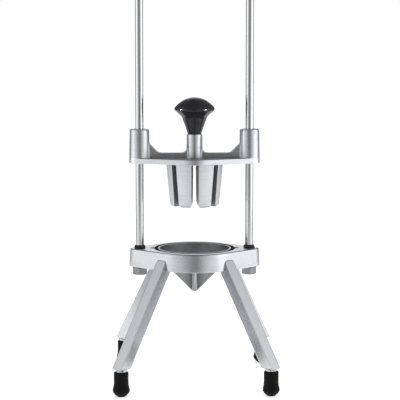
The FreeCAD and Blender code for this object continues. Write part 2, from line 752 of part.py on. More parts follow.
def make_leg_screws():
    """The four screws that hold the legs, reached through the blade bore."""
    body = new_body("leg_screws", separate=True)
    screw = turned(body, "screw",
                   countersunk(leg_screw_start, dim.leg_screw_radius, dim.leg_screw_head,
                               dim.leg_screw_length),
                   role="XY_Plane", shift=(0, 0, leg_screw_level), turn=45, axis="H_Axis")
    corner = leg_screw_start * cosine(45)
    face = new_sketch(body, "YZ_Plane", "driver", (corner, 0, corner), 45)
    draw_hexagon(face, leg_screw_level, dim.leg_screw_radius * dim.driver_ratio)
    socket = pocket(body, "driver_socket", face, dim.driver_depth, reverse=True)
    around(body, "screws", [screw, socket], 4)
    return body


def draw_hexagon(sketch, up, radius):
    """A small hexagon about a point on the sketch's upright axis."""
    reach = radius * cosine(30)
    draw(sketch, [(0, up - radius), (reach, up - radius / 2), (reach, up + radius / 2),
                  (0, up + radius), (-reach, up + radius / 2), (-reach, up - radius / 2)])


def make_blade_ring():
    """The steel sleeve that carries the blades and lifts out of the base."""
    body = new_body("blade_ring")
    turned(body, "sleeve", ring_outline(ring_inner, dim.blade_ring_radius, ring_bottom,
                                        dim.base_top))
    half = dim.blade_thickness / 2 + dim.blade_gap
    low = dim.tab_low - dim.blade_gap
    high = dim.tab_low + dim.tab_height + dim.blade_gap
    face = new_sketch(body, "YZ_Plane", "tab_face")
    draw(face, [(-half, low), (half, low), (half, high), (-half, high)])
    slot = pocket(body, "tab_slot", face, dim.blade_ring_radius + dim.blind_clearance,
                  reverse=True)
    around(body, "tab_slots", [slot], 4)
    return body


def make_blade(name, turn):
    """One sheet blade from the hub to the ring, with its cutting edge upward."""
    body = new_body(name)
    root_radius = dim.hub_radius - dim.hub_slot_depth + dim.blade_gap
    edge = ring_inner - dim.blade_gap
    profile = new_sketch(body, "XZ_Plane", "profile")
    draw(profile, [(root_radius, dim.blade_heel), (dim.hub_radius, dim.blade_heel),
                   (edge, dim.blade_foot), (edge, dim.tab_low),
                   (dim.blade_ring_radius, dim.tab_low),
                   (dim.blade_ring_radius, dim.tab_low + dim.tab_height),
                   (edge, dim.tab_low + dim.tab_height), (edge, dim.blade_shoulder),
                   (dim.hub_radius, dim.blade_crest), (root_radius, dim.blade_crest)])
    sheet = pad(body, "sheet", profile, dim.blade_thickness, symmetric=True)
    slope = (dim.blade_shoulder - dim.blade_crest) / (edge - dim.hub_radius)

    def on_cutting_edge(spot):
        expected = dim.blade_crest.value + slope.value * (spot.x - dim.hub_radius.value)
        return near(spot.z, expected) and near(abs(spot.y), dim.blade_thickness / 2)

    grind = bevelled(body, "grind", sheet, on_cutting_edge,
                     dim.blade_thickness / 2 - dim.blade_land / 2)
    grind.ChamferType = "Two distances"
    bind(grind, "Size2", dim.blade_bevel_face)
    place(body, turn=turn)
    return body


def make_blade_hub():
    """The pointed pin in the middle that the blades are set into."""
    body = new_body("blade_hub")
    shoulder = dim.hub_tip - dim.hub_point_length
    turned(body, "pin", [(0, dim.hub_bottom), (dim.hub_radius, dim.hub_bottom),
                         (dim.hub_radius, shoulder), (dim.hub_tip_radius, dim.hub_tip),
                         (0, dim.hub_tip)])
    half = dim.blade_thickness / 2 + dim.blade_gap
    floor = dim.hub_radius - dim.hub_slot_depth
    plan = new_sketch(body, "XY_Plane", "slot_plan", (0, 0, dim.hub_bottom))
    draw(plan, [(floor, -half), (dim.hub_radius + dim.blind_clearance, -half),
                (dim.hub_radius + dim.blind_clearance, half), (floor, half)])
    slot = pocket(body, "slot", plan, dim.blade_crest - dim.hub_bottom + dim.blade_gap,
                  reverse=True)
    around(body, "slots", [slot], 4)
    return body


def make_gasket():
    """The rubber gasket round the blade ring, with an ear at each end to pull it by."""
    body = new_body("blade_gasket")
    low = gasket_bottom
    high = dim.base_top
    soft = dim.gasket_round
    inner = gasket_inner + dim.gasket_gap
    ear = new_sketch(body, "XY_Plane", "ear_plan", (0, 0, low))
    draw_circle(ear, gasket_ear, 0, dim.gasket_ear_radius)
    ear_pad = pad(body, "ear", ear, dim.gasket_thickness - soft)
    opposite = new_sketch(body, "XY_Plane", "other_ear_plan", (0, 0, low))
    draw_circle(opposite, -gasket_ear, 0, dim.gasket_ear_radius)
    body.Tip = ear_pad
    turned(body, "band", [(inner, low), (gasket_outer, low),
                          (gasket_outer, high - soft, "left", soft),
                          (gasket_outer - soft, high),
                          (inner + soft, high, "left", soft), (inner, high - soft)])
    pad(body, "other_ear", opposite, dim.gasket_thickness - soft)
    turned(body, "clear_bore", [(0, low - soft), (inner, low - soft), (inner, high + soft),
                                (0, high + soft)], cut=True)
    return body


def make_push_head():
    """The pusher's casting: two bosses on the rods, a plate, a rib with gussets and a post."""
    body = new_body("push_head")
    plan = new_sketch(body, "XY_Plane", "plate_plan", (0, 0, plate_bottom))
    draw_lens(plan, dim.plate_radius, dim.plate_lobe_radius, dim.rod_offset)
    plate = pad(body, "plate", plan, dim.plate_thickness)
    rounded(body, "plate_edge", plate, lambda spot: near(spot.z, plate_top), dim.plate_round)
    rib = new_sketch(body, "XZ_Plane", "rib_view")
    foot_x = dim.rod_offset - dim.gusset_reach
    gusset_x = dim.rod_offset - dim.boss_radius + dim.bush_wall
    gusset_top = rib_top + gusset_x - foot_x
    post_x = dim.post_foot_radius
    fillet = dim.post_fillet
    curve = dim.gusset_fillet
    run = curve * sine(22.5) / cosine(22.5)
    rise = run * sine(45)
    draw(rib, [(-gusset_x, plate_bottom), (gusset_x, plate_bottom), (gusset_x, gusset_top),
               (foot_x + rise, rib_top + rise, "right", curve), (foot_x - run, rib_top),
               (post_x + fillet, rib_top, "right", fillet),
               (post_x, rib_top + fillet), (-post_x, rib_top + fillet, "right", fillet),
               (-post_x - fillet, rib_top), (run - foot_x, rib_top, "right", curve),
               (-foot_x - rise, rib_top + rise), (-gusset_x, gusset_top)])
    rib_pad = pad(body, "rib", rib, dim.rib_width, symmetric=True)
    rounded(body, "rib_edges", rib_pad,
            lambda spot: near(abs(spot.y), dim.rib_width / 2)
            and spot.z > rib_top.value - 0.01, dim.rib_round)
    turned(body, "post", [(0, plate_bottom), (dim.post_foot_radius, plate_bottom),
                          (dim.post_foot_radius, rib_top + fillet),
                          (dim.post_radius, post_top), (0, post_top)])
    chamfer = dim.boss_chamfer
    shoulder = dim.boss_shoulder
    drop = dim.boss_shoulder_drop
    shoulder_round = (drop * drop + shoulder * shoulder) / (2 * drop)
    bush_end = dim.bush_inset + dim.bush_length
    bosses = []
    for side, side_name in ((-1, "left"), (1, "right")):
        wide = dim.boss_radius + dim.boss_height * sine(dim.boss_draft)
        bosses.append(turned(
            body, f"{side_name}_boss",
            [(0, dim.boss_bottom), (wide - chamfer, dim.boss_bottom),
             (wide, dim.boss_bottom + chamfer),
             (dim.boss_radius, boss_top - drop, "left", shoulder_round),
             (dim.boss_radius - shoulder, boss_top), (0, boss_top)],
            shift=(side * dim.rod_offset, 0, 0)))
        seat = bush_radius + dim.thread_gap
        relief = dim.rod_radius + dim.bore_relief
        turned(body, f"{side_name}_bore",
               [(0, dim.boss_bottom - chamfer), (seat, dim.boss_bottom - chamfer),
                (seat, dim.boss_bottom + bush_end), (relief, dim.boss_bottom + bush_end),
                (relief, boss_top - bush_end), (seat, boss_top - bush_end),
                (seat, boss_top + chamfer), (0, boss_top + chamfer)],
               shift=(side * dim.rod_offset, 0, 0), cut=True)
    turned(body, "block_recess",
           [(0, plate_bottom - dim.blind_clearance),
            (dim.block_radius + dim.block_gap, plate_bottom - dim.blind_clearance),
            (dim.block_radius + dim.block_gap, block_top), (0, block_top)], cut=True)
    turned(body, "stud_hole",
           [(0, post_top - dim.stud_in_post - dim.blind_clearance),
            (dim.stud_radius + dim.thread_gap,
             post_top - dim.stud_in_post - dim.blind_clearance),
            (dim.stud_radius + dim.thread_gap, post_top + dim.blind_clearance),
            (0, post_top + dim.blind_clearance)], cut=True)
    hole = dim.block_screw_radius + dim.screw_gap
    mouth = dim.block_screw_head + dim.screw_gap
    holes = []
    for side, side_name in ((-1, "left"), (1, "right")):
        holes.append(turned(
            body, f"{side_name}_screw_seat",
            [(0, block_top - dim.blind_clearance), (hole, block_top - dim.blind_clearance),
             (hole, plate_top - mouth + hole), (mouth, plate_top),
             (mouth, plate_top + dim.blind_clearance), (0, plate_top + dim.blind_clearance)],
            shift=block_screw_shift(side), cut=True))
    mirrored(body, "rear_screw_seats", holes, "XZ_Plane")
    return body


def block_screw_shift(side):
    """Where a push block screw stands, in the axes of the XZ plane."""
    across = side * dim.block_screw_circle * sine(dim.block_screw_angle)
    return (across, 0, dim.block_screw_circle * cosine(dim.block_screw_angle))


def gap_between_fingers(body, name, rim_width, turn=0):
    """A gap that widens outward and narrows upward, with a flare at its lower end."""
    axis_half = dim.slot_axis_width / 2
    rim_half = rim_width / 2
    reach = dim.block_radius + dim.blind_clearance
    flare_angle = arc_tangent(dim.slot_flare / dim.slot_flare_height)
    cuts = []
    for part, extra, height, draft in (
            ("walls", 0, plate_bottom - dim.block_bottom, dim.slot_draft),
            ("flare", dim.slot_flare, dim.slot_flare_height, flare_angle)):
        plan = new_sketch(body, "XY_Plane", f"{name}_{part}_plan", (0, 0, dim.block_bottom), turn)
        draw(plan, [(0, -axis_half - extra), (reach, -rim_half - extra),
                    (reach, rim_half + extra), (0, axis_half + extra)])
        cuts.append(pocket(body, f"{name}_{part}", plan, height, reverse=True, taper=-draft))
    return cuts


def make_push_block():
    """The block that pushes the fruit between the blades with its ring of fingers."""
    body = new_body("push_block")
    bevel = dim.block_end_bevel
    turned(body, "cone",
           [(0, dim.block_bottom), (dim.block_end_radius - bevel, dim.block_bottom),
            (dim.block_end_radius, dim.block_bottom + bevel),
            (dim.block_radius, plate_bottom), (dim.block_radius, block_top),
            (0, block_top)])
    turned(body, "bore", [(0, dim.block_bottom), (dim.block_bore, dim.block_bottom),
                          (dim.block_bore, plate_bottom), (0, plate_bottom)], cut=True)
    around(body, "main_gaps", gap_between_fingers(body, "main_gap", dim.slot_rim_width),
           dim.slot_count)
    gaps = gap_between_fingers(body, "right_gap", dim.slot_side_width, dim.slot_side_angle)
    gaps += gap_between_fingers(body, "left_gap", dim.slot_side_width,
                                180 - dim.slot_side_angle)
    mirrored(body, "front_gaps", gaps, "XZ_Plane")
    hole = dim.block_screw_radius + dim.thread_gap
    deep = plate_top - dim.block_screw_length - dim.blind_clearance
    holes = []
    for side, side_name in ((-1, "left"), (1, "right")):
        holes.append(turned(
            body, f"{side_name}_tapped_hole",
            [(0, deep), (hole, deep), (hole, block_top + dim.blind_clearance),
             (0, block_top + dim.blind_clearance)],
            shift=block_screw_shift(side), cut=True))
    mirrored(body, "rear_tapped_holes", holes, "XZ_Plane")
    return body


def make_push_block_screws():
    """The four countersunk screws that hold the push block to its casting."""
    body = new_body("push_block_screws", separate=True)
    shank = dim.block_screw_radius
    head = dim.block_screw_head
    low = plate_top - dim.block_screw_length
    screws = []
    for side, side_name in ((-1, "left"), (1, "right")):
        screws.append(turned(
            body, f"{side_name}_screw",
            [(0, low), (shank, low), (shank, plate_top - head + shank), (head, plate_top),
             (0, plate_top)], shift=block_screw_shift(side)))
        across, _, forward = block_screw_shift(side)
        face = new_sketch(body, "XY_Plane", f"{side_name}_driver", (across, -forward, plate_top))
        draw_hexagon(face, 0, shank * dim.driver_ratio)
        screws.append(pocket(body, f"{side_name}_driver_socket", face, dim.driver_depth))
    mirrored(body, "rear_screws", screws, "XZ_Plane")
    return body


def make_bush(name, side, low):
    """A plain guide bush in the end of a boss."""
    body = new_body(name)
    turned(body, "bush", ring_outline(dim.rod_radius + dim.bush_gap, bush_radius, low,
                                      low + dim.bush_length))
    place(body, across=side * dim.rod_offset)
    return body


def make_knob():
    """The mushroom knob, turned about Z, with a bore for its insert."""
    body = new_body("knob")
    bore = dim.insert_radius + dim.thread_gap
    bore_end = knob_bottom + dim.insert_length + dim.blind_clearance
    neck = knob_bottom + dim.knob_neck_height
    rim_low = knob_bottom + dim.knob_rim_low
    rim_high = knob_bottom + dim.knob_rim_high
    turned(body, "knob",
           [(bore, knob_bottom), (dim.knob_foot_radius, knob_bottom),
            (dim.knob_neck_radius, neck),
            (dim.knob_radius - dim.knob_rim_round, rim_low, "left", dim.knob_rim_round * 2),
            (dim.knob_radius, rim_low + dim.knob_rim_round),
            (dim.knob_radius, rim_high, "left", dim.knob_dome_radius),
            (dim.knob_crown, knob_top), (0, knob_top), (0, bore_end), (bore, bore_end)])
    return body


def make_knob_insert():
    """The threaded brass insert moulded into the knob."""
    body = new_body("knob_insert")
    turned(body, "insert", ring_outline(dim.stud_radius + dim.thread_gap, dim.insert_radius,
                                        knob_bottom, knob_bottom + dim.insert_length))
    return body


def make_knob_stud():
    """The stud that joins the knob to the post."""
    body = new_body("knob_stud")
    turned(body, "stud", [(0, post_top - dim.stud_in_post),
                          (dim.stud_radius, post_top - dim.stud_in_post),
                          (dim.stud_radius, post_top + dim.stud_in_knob),
                          (0, post_top + dim.stud_in_knob)])
    return body


def make_everything():
    """Builds every piece of the press."""
    make_base_frame()
    for side_name, side in (("left", -1), ("right", 1)):
        make_rod(f"guide_rod_{side_name}", side)
        make_bumper(f"rod_bumper_{side_name}", side)
        make_washer(f"rod_washer_{side_name}", side)
        nut_turn = dim.nut_turn if side < 0 else 60 - dim.nut_turn
        place(make_nut(f"rod_nut_{side_name}", nut_turn), across=side * dim.rod_offset)
        make_bush(f"lower_bush_{side_name}", side, dim.boss_bottom + dim.bush_inset)
        make_bush(f"upper_bush_{side_name}", side,
                  boss_top - dim.bush_inset - dim.bush_length)
    for place_name, side, depth, turn in (("front_left", -1, -1, 225),
                                          ("front_right", 1, -1, 315),
                                          ("rear_left", -1, 1, 135),
                                          ("rear_right", 1, 1, 45)):
        make_leg(f"leg_{place_name}", turn)
        make_foot(f"rubber_foot_{place_name}", side, depth)
    make_leg_screws()
    make_blade_ring()
    for place_name, turn in (("right", 0), ("rear", 90), ("left", 180), ("front", 270)):
        make_blade(f"blade_{place_name}", turn)
    make_blade_hub()
    make_gasket()
    make_push_head()
    make_push_block()
    make_push_block_screws()
    make_knob()
    make_knob_insert()
    make_knob_stud()


def check_everything():
    """Stops if an object failed or a piece has no sound solid."""
    for item in doc.Objects:
        if "Invalid" in item.State or "Error" in item.State:
            raise RuntimeError(f"{item.Label} failed: {item.State}")
    for body in pieces:
        if body.Shape.isNull() or not body.Shape.isValid() or not body.Shape.Solids:
            raise RuntimeError(f"{body.Label} has no sound solid")


def write_everything():
    """Writes one STEP file for each node."""
    os.makedirs("parts", exist_ok=True)
    for body in pieces:
        body.Shape.exportStep(f"parts/{body.Label}.step")


make_everything()
doc.recompute()
check_everything()
write_everything()
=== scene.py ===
"""Looks of the apple slicer wedger press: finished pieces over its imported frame."""

import math

import bmesh
import bpy
from mathutils import Matrix, Vector


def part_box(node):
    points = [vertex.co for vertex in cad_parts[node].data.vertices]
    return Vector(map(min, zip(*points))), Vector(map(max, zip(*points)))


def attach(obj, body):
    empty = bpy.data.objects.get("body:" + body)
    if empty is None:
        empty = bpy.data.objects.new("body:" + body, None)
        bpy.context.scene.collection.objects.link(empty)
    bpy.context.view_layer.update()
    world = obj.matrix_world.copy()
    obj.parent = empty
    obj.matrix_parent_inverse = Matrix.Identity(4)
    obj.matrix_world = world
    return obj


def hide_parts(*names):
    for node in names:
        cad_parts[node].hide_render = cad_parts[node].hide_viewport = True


bl_info = {
    "name": "Apple wedger press",
    "version": (1, 0, 0),
    "blender": (4, 5, 0),
    "location": "View3D > Sidebar > Press",
    "description": "Builds the finished pieces of a bench press that wedges fruit",
    "category": "Object",
}

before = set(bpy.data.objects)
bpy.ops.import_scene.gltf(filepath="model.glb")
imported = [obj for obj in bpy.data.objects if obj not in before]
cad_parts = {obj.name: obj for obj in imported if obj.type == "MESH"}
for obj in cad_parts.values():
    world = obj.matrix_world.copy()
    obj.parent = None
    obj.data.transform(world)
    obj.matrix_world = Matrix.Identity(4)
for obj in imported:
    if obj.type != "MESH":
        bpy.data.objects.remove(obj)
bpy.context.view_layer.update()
MM = 0.001
SIDES = ("left", "right")
CORNERS = ("front_left", "front_right", "rear_left", "rear_right")


# Node trees ---------------------------------------------------------------------------------

class Value:
    """One output of a node. Sums written on it add Math nodes."""

    def __init__(self, graph, socket):
        self.graph = graph
        self.socket = socket

    def math(self, operation, first, second):
        return self.graph.node("ShaderNodeMath", {"operation": operation},
                               {0: first, 1: second})


def operators(sign, operation):
    """Overloads one sign of Value and its reflected form."""
    setattr(Value, f"__{sign}__", lambda self, other: self.math(operation, self, other))
    setattr(Value, f"__r{sign}__", lambda self, other: self.math(operation, other, self))


for sign, operation in (("add", "ADD"), ("sub", "SUBTRACT"), ("mul", "MULTIPLY"),
                        ("truediv", "DIVIDE")):
    operators(sign, operation)


class Graph:
    """A node tree that is written as a list of calls."""

    def __init__(self, tree):
        self.tree = tree
        tree.nodes.clear()

    def node(self, kind, settings=None, inputs=None, output=0):
        """Adds a node, gives it its settings, then its inputs, and returns one output."""
        made = self.tree.nodes.new(kind)
        for key, value in (settings or {}).items():
            if key == "stops":
                ramp = made.color_ramp
                while len(ramp.elements) < len(value):
                    ramp.elements.new(1.0)
                for element, (position, colour) in zip(ramp.elements, value):
                    element.position = position
                    element.color = (*colour, 1.0)
            else:
                setattr(made, key, value)
        for key, value in (inputs or {}).items():
            socket = next((s for s in made.inputs if s.identifier == key), None) \
                if isinstance(key, str) else made.inputs[key]
            if socket is None:
                socket = made.inputs[key]
            if isinstance(value, Value):
                self.tree.links.new(value.socket, socket)
            elif value is not None:
                socket.default_value = value
        return Value(self, made.outputs[output])

    def math(self, operation, first, second=None):
        """A Math node whose operation has no sign of its own."""
        return self.node("ShaderNodeMath", {"operation": operation}, {0: first, 1: second})

    def vector(self, operation, first, second=None):
        """Vector Math on two vectors."""
        return self.node("ShaderNodeVectorMath", {"operation": operation},
                         {0: first, 1: second})

    def parts(self, vector):
        """The three coordinates of a vector."""
        first = self.node("ShaderNodeSeparateXYZ", None, {"Vector": vector})
        outputs = first.socket.node.outputs
        return tuple(Value(self, outputs[i]) for i in range(3))

    def join(self, x, y, z):
        """A vector of three coordinates."""
        return self.node("ShaderNodeCombineXYZ", None, {"X": x, "Y": y, "Z": z})

    def between(self, value, low, high, start=0.0, end=1.0):
        """Maps a stretch of values smoothly onto another."""
        return self.node("ShaderNodeMapRange", {"interpolation_type": "SMOOTHSTEP"},
                         {"Value": value, "From Min": low, "From Max": high,
                          "To Min": start, "To Max": end})

    def blend(self, factor, first, second):
        """A mix of two colours."""
        return self.node("ShaderNodeMix", {"data_type": "RGBA"},
                         {"Factor_Float": factor, "A_Color": first, "B_Color": second}, 2)

    def tint(self, factor, colour, darkest, lightest):
        """One colour made darker and lighter, mixed by a factor."""
        return self.blend(factor, rgba(colour, darkest), rgba(colour, lightest))

    def from_axis(self, x, y):
        """Distance from the Z axis."""
        return self.math("SQRT", x * x + y * y)

    def speckle(self, place, scale, detail=3.0, roughness=0.55):
        """Noise of a given number of features to a metre."""
        return self.node("ShaderNodeTexNoise", None,
                         {"Vector": place, "Scale": scale, "Detail": detail,
                          "Roughness": roughness})


class Finish(Graph):
    """A material's tree, with the object's own coordinates ready to use."""

    def __init__(self, name):
        self.material = bpy.data.materials.new(name)
        self.material.use_nodes = True
        super().__init__(self.material.node_tree)
        coordinates = self.node("ShaderNodeTexCoord", None, None, "Object")
        self.place = coordinates
        self.facing = Value(self, coordinates.socket.node.outputs["Normal"])

    def stretched(self, x, y, z):
        """The object's coordinates, scaled along each axis."""
        return self.vector("MULTIPLY", self.place, (x, y, z))

    def close(self, colour, rough, height, depth, constants):
        """Ends the tree in one shader; height is bumped by depth metres."""
        bump = self.node("ShaderNodeBump", None,
                         {"Strength": 1.0, "Distance": depth, "Height": height})
        inputs = {"Base Color": colour, "Roughness": rough, "Normal": bump}
        inputs.update(constants)
        shader = self.node("ShaderNodeBsdfPrincipled", None, inputs)
        self.node_output(shader)
        self.material.diffuse_color = (0.6, 0.6, 0.6, 1.0)
        return self.material

    def node_output(self, shader):
        """Links a shader to the material's output."""
        out = self.tree.nodes.new("ShaderNodeOutputMaterial")
        self.tree.links.new(shader.socket, out.inputs["Surface"])


def rgba(colour, gain=1.0):
    """A colour of the panel as a socket takes it, made lighter or darker by gain."""
    return (*(channel * gain for channel in colour[:3]), 1.0)


BARE_METAL = {"Metallic": 1.0}


# Materials ----------------------------------------------------------------------------------

def cast_finish(name, colour, skin, brushed, metal=1.0, shaded_level_band=None, lit_upright_band=None,
                bevel_shade=0.0, gap_shade_cone=None):
    """Tumbled cast aluminium; its upright faces carry level linishing lines, its flats are
    pitted.

    The shaded level band is the (lowest, highest) height of level faces given painted shade
    and a rougher skin. The lit upright band is the (height, gain) of upright faces below that
    height, made brighter with painted light. The bevel shade darkens the bevels round the top
    with painted shade. The gap shade cone is the (radius, height) of a cone's two ends: what
    faces aslant inside that cone is darkened with painted shade.
    """
    finish = Finish(name)
    _, _, up = finish.parts(finish.facing)
    level = finish.math("ABSOLUTE", up)
    upright = finish.between(level, 0.25, 0.6, 1.0, 0.0)
    grain = finish.speckle(finish.place, 1500.0, 4.0, 0.6)
    pits = finish.speckle(finish.place, 520.0, 2.0)
    clouds = finish.speckle(finish.place, 28.0, 3.0)
    lines = finish.speckle(finish.stretched(22.0, 22.0, 3400.0), 1.0, 3.0, 0.7)
    marks = finish.speckle(finish.stretched(9.0, 9.0, 420.0), 1.0, 2.0)
    line_share = upright * brushed
    height = grain * (1.0 - line_share * 0.7) * 0.6 + pits * 0.4 + lines * line_share
    shade = finish.between(clouds * 0.6 + marks * 0.4 * upright + grain * 0.15, 0.3, 0.8)
    tone = finish.tint(shade, colour, 0.90, 1.06)
    rough = skin - 0.06 + grain * 0.14 + (1.0 - upright) * 0.06
    _, _, rise = finish.parts(finish.place)
    # Painted light: upright faces below the given height take the colour times the given gain.
    if lit_upright_band is not None:
        painted_light_mask = finish.between(rise, lit_upright_band[0] - 0.0002, lit_upright_band[0], 1.0, 0.0) * upright
        tone = finish.blend(painted_light_mask, tone, rgba(colour, lit_upright_band[1]))
    # Painted shade: faces that slope upward, the bevels round the top, are darkened towards 0.15
    # of the colour.
    if bevel_shade:
        bevel = finish.between(up, 0.25, 0.45) * finish.between(up, 0.9, 0.985, 1.0, 0.0)
        tone = finish.blend(bevel * bevel_shade, tone, rgba(colour, 0.15))
    # Painted shade: walls of the finger gaps that face aslant inside the cone are darkened to
    # 0.42 of the colour.
    if gap_shade_cone is not None:
        (foot, lowest), (head, highest) = gap_shade_cone
        x, y, _ = finish.parts(finish.place)
        _, back, _ = finish.parts(finish.facing)
        back = finish.math("ABSOLUTE", back)
        shell = (rise - lowest) * ((head - foot) / (highest - lowest)) + foot
        depth = shell - finish.from_axis(x, y)
        gap_wall_shade = finish.between(depth, 0.0002, 0.0008) * finish.between(back, 0.45, 0.60) \
            * finish.between(back, 0.85, 0.95, 1.0, 0.0)
        tone = finish.blend(gap_wall_shade, tone, rgba(colour, 0.42))
    # Painted shade: level faces between the two heights are darkened to 0.3 of the colour, and
    # made rougher.
    if shaded_level_band is not None:
        level_shade_mask = finish.between(rise, shaded_level_band[0] - 0.0004, shaded_level_band[0]) \
            * finish.between(rise, shaded_level_band[1], shaded_level_band[1] + 0.0004, 1.0, 0.0) \
            * finish.between(up, 0.55, 0.9)
        tone = finish.blend(level_shade_mask, tone, rgba(colour, 0.30))
        rough = rough + level_shade_mask * 0.2
    return finish.close(tone, rough, height, 0.00005, {"Metallic": metal})


def leg_finish(name, colour, skin):
    """Aluminium bar brushed aslant, the same on all four legs."""
    finish = Finish(name)
    folded = finish.node("ShaderNodeVectorMath", {"operation": "ABSOLUTE"}, {0: finish.place})
    x, y, z = finish.parts(folded)
    out = x + y
    over = x - y
    slant = z + out * 0.45 + over * 0.55
    strokes = finish.speckle(finish.join(out * 90.0, over * 90.0, slant * 3600.0), 1.0, 3.0, 0.7)
    bands = finish.speckle(finish.join(out * 40.0, over * 40.0, slant * 900.0), 1.0, 2.0)
    grain = finish.speckle(finish.place, 2200.0, 3.0, 0.6)
    shade = finish.between(strokes * 0.45 + bands * 0.2 + grain * 0.35, 0.3, 0.7)
    tone = finish.tint(shade, colour, 0.94, 1.05)
    rough = skin + strokes * 0.08 - 0.04
    return finish.close(tone, rough, strokes * 0.5 + grain * 0.5, 0.000015, BARE_METAL)


def ground_finish(name, colour, skin):
    """Centreless-ground bar: fine rings round it and faint long scratches."""
    finish = Finish(name)
    rings = finish.speckle(finish.stretched(40.0, 40.0, 5200.0), 1.0, 3.0, 0.6)
    runs = finish.speckle(finish.stretched(1400.0, 1400.0, 12.0), 1.0, 2.0)
    shade = finish.between(rings * 0.5 + runs * 0.5, 0.3, 0.7)
    tone = finish.tint(shade, colour, 0.93, 1.04)
    rough = skin + rings * 0.05 + runs * 0.02
    return finish.close(tone, rough, rings, 0.0000008, BARE_METAL)


def blade_finish(name, colour, skin):
    """Rolled stainless sheet, brushed level and worn in patches, with painted shade near the hub.
    """
    finish = Finish(name)
    strokes = finish.speckle(finish.stretched(60.0, 60.0, 2600.0), 1.0, 3.0, 0.7)
    patches = finish.speckle(finish.place, 60.0, 4.0, 0.6)
    shade = finish.between(strokes * 0.55 + patches * 0.45, 0.3, 0.7)
    tone = finish.tint(shade, colour, 0.82, 1.1)
    x, y, _ = finish.parts(finish.place)
    reach = finish.from_axis(x, y)
    # Painted shade: the colour falls to 0.4 of itself within 16 mm of the hub.
    tone = finish.blend(finish.between(reach, 0.001, 0.016), rgba(colour, 0.4), tone)
    rough = skin + strokes * 0.1 + patches * 0.05
    return finish.close(tone, rough, strokes, 0.00002, BARE_METAL)


def sleeve_finish(name, colour, skin, outside):
    """Drawn stainless tube, polished at its outside radius, with painted shade and a rougher skin
    inside.
    """
    finish = Finish(name)
    x, y, _ = finish.parts(finish.place)
    across, back, _ = finish.parts(finish.facing)
    reach = finish.from_axis(x, y)
    # Painted shade: faces towards the axis, and all inside the outer radius, take 0.30 to 0.42 of
    # the colour.
    inside = finish.math("MAXIMUM", finish.between(x * across + y * back, -0.03, -0.01, 1.0, 0.0),
                         finish.between(reach, outside - 0.0011, outside - 0.0009, 1.0, 0.0))
    rings = finish.speckle(finish.stretched(40.0, 40.0, 4200.0), 1.0, 3.0, 0.6)
    stains = finish.speckle(finish.place, 120.0, 4.0, 0.6)
    shade = finish.between(rings * 0.5 + stains * 0.5, 0.3, 0.7)
    outer = finish.tint(shade, colour, 0.92, 1.04)
    inner = finish.tint(shade, colour, 0.30, 0.42)
    rough = skin + rings * 0.05 + inside * 0.12
    return finish.close(finish.blend(inside, outer, inner), rough, rings, 0.000002,
                        BARE_METAL)


def plated_finish(name, colour, skin):
    """Bright zinc on steel, with a faint cloudy bloom."""
    finish = Finish(name)
    bloom = finish.speckle(finish.place, 160.0, 4.0, 0.6)
    dust = finish.speckle(finish.place, 2600.0, 2.0)
    tone = finish.tint(finish.between(bloom, 0.35, 0.65), colour, 0.88, 1.05)
    return finish.close(tone, skin + bloom * 0.12, bloom * 0.4 + dust * 0.6, 0.00001,
                        BARE_METAL)


def turned_finish(name, colour, skin):
    """Copper alloy turned on a lathe, with fine tool rings."""
    finish = Finish(name)
    rings = finish.speckle(finish.stretched(60.0, 60.0, 4200.0), 1.0, 2.0)
    tarnish = finish.speckle(finish.place, 220.0, 4.0, 0.6)
    tone = finish.tint(finish.between(tarnish, 0.35, 0.7), colour, 1.0, 0.7)
    return finish.close(tone, skin + tarnish * 0.15, rings, 0.00001, BARE_METAL)


def rubber_finish(name, colour, skin, grain_depth, gloss=0.4):
    """Moulded black rubber with a fine spark-eroded skin and dusty patches."""
    finish = Finish(name)
    skin_grain = finish.speckle(finish.place, 3200.0, 2.0)
    dust = finish.speckle(finish.place, 150.0, 4.0, 0.65)
    _, _, up = finish.parts(finish.facing)
    settled = finish.between(up, 0.2, 1.0) * 0.12
    tone = finish.tint(finish.between(dust, 0.45, 0.85) * 0.45 + settled, colour, 1.0, 2.6)
    rough = skin + dust * 0.14 + skin_grain * 0.06
    return finish.close(tone, rough, skin_grain, grain_depth, {"Specular IOR Level": gloss})


def knob_finish(name, colour, skin):
    """Polished black moulding, with very fine handling marks."""
    finish = Finish(name)
    ripple = finish.speckle(finish.place, 90.0, 2.0)
    marks = finish.speckle(finish.stretched(900.0, 900.0, 260.0), 1.0, 3.0, 0.7)
    tone = finish.tint(finish.between(ripple, 0.35, 0.7), colour, 1.0, 1.5)
    rough = skin + marks * 0.06
    return finish.close(tone, rough, ripple * 0.7 + marks * 0.05, 0.00002,
                        {"Specular IOR Level": 0.28})


# Shapes -------------------------------------------------------------------------------------

def mesh_of(name, points, faces):
    """A mesh from points in metres and faces that look outwards."""
    mesh = bpy.data.meshes.new(name)
    mesh.from_pydata([tuple(point) for point in points], [], faces)
    mesh.validate()
    mesh.update()
    return mesh


def loft(name, loops, ring=False):
    """Skins loops of equal length; the ends are closed, or joined to each other for a ring."""
    count = len(loops[0])
    points = [point for loop in loops for point in loop]
    faces = []
    pairs = len(loops) if ring else len(loops) - 1
    for row in range(pairs):
        here = row * count
        there = ((row + 1) % len(loops)) * count
        for column in range(count):
            after = (column + 1) % count
            faces.append((here + column, here + after, there + after, there + column))
    if not ring:
        faces.append(tuple(reversed(range(count))))
        faces.append(tuple(range(len(points) - count, len(points))))
    return mesh_of(name, points, faces)


def circle(radius, height, steps, centre=(0.0, 0.0)):
    """A level circle of points, anticlockwise from above."""
    return [Vector((centre[0] + radius * math.cos(2 * math.pi * i / steps),
                    centre[1] + radius * math.sin(2 * math.pi * i / steps), height))
            for i in range(steps)]


def lathe(name, profile, steps, centre=(0.0, 0.0), ring=False):
    """Turns (radius, height) pairs about an upright axis, from the bottom up.

    A ring's profile is a closed section, anticlockwise as seen with the axis at its left.
    """
    loops = [circle(max(radius, 0.00005), height, steps, centre) for radius, height in profile]
    return loft(name, loops, ring)


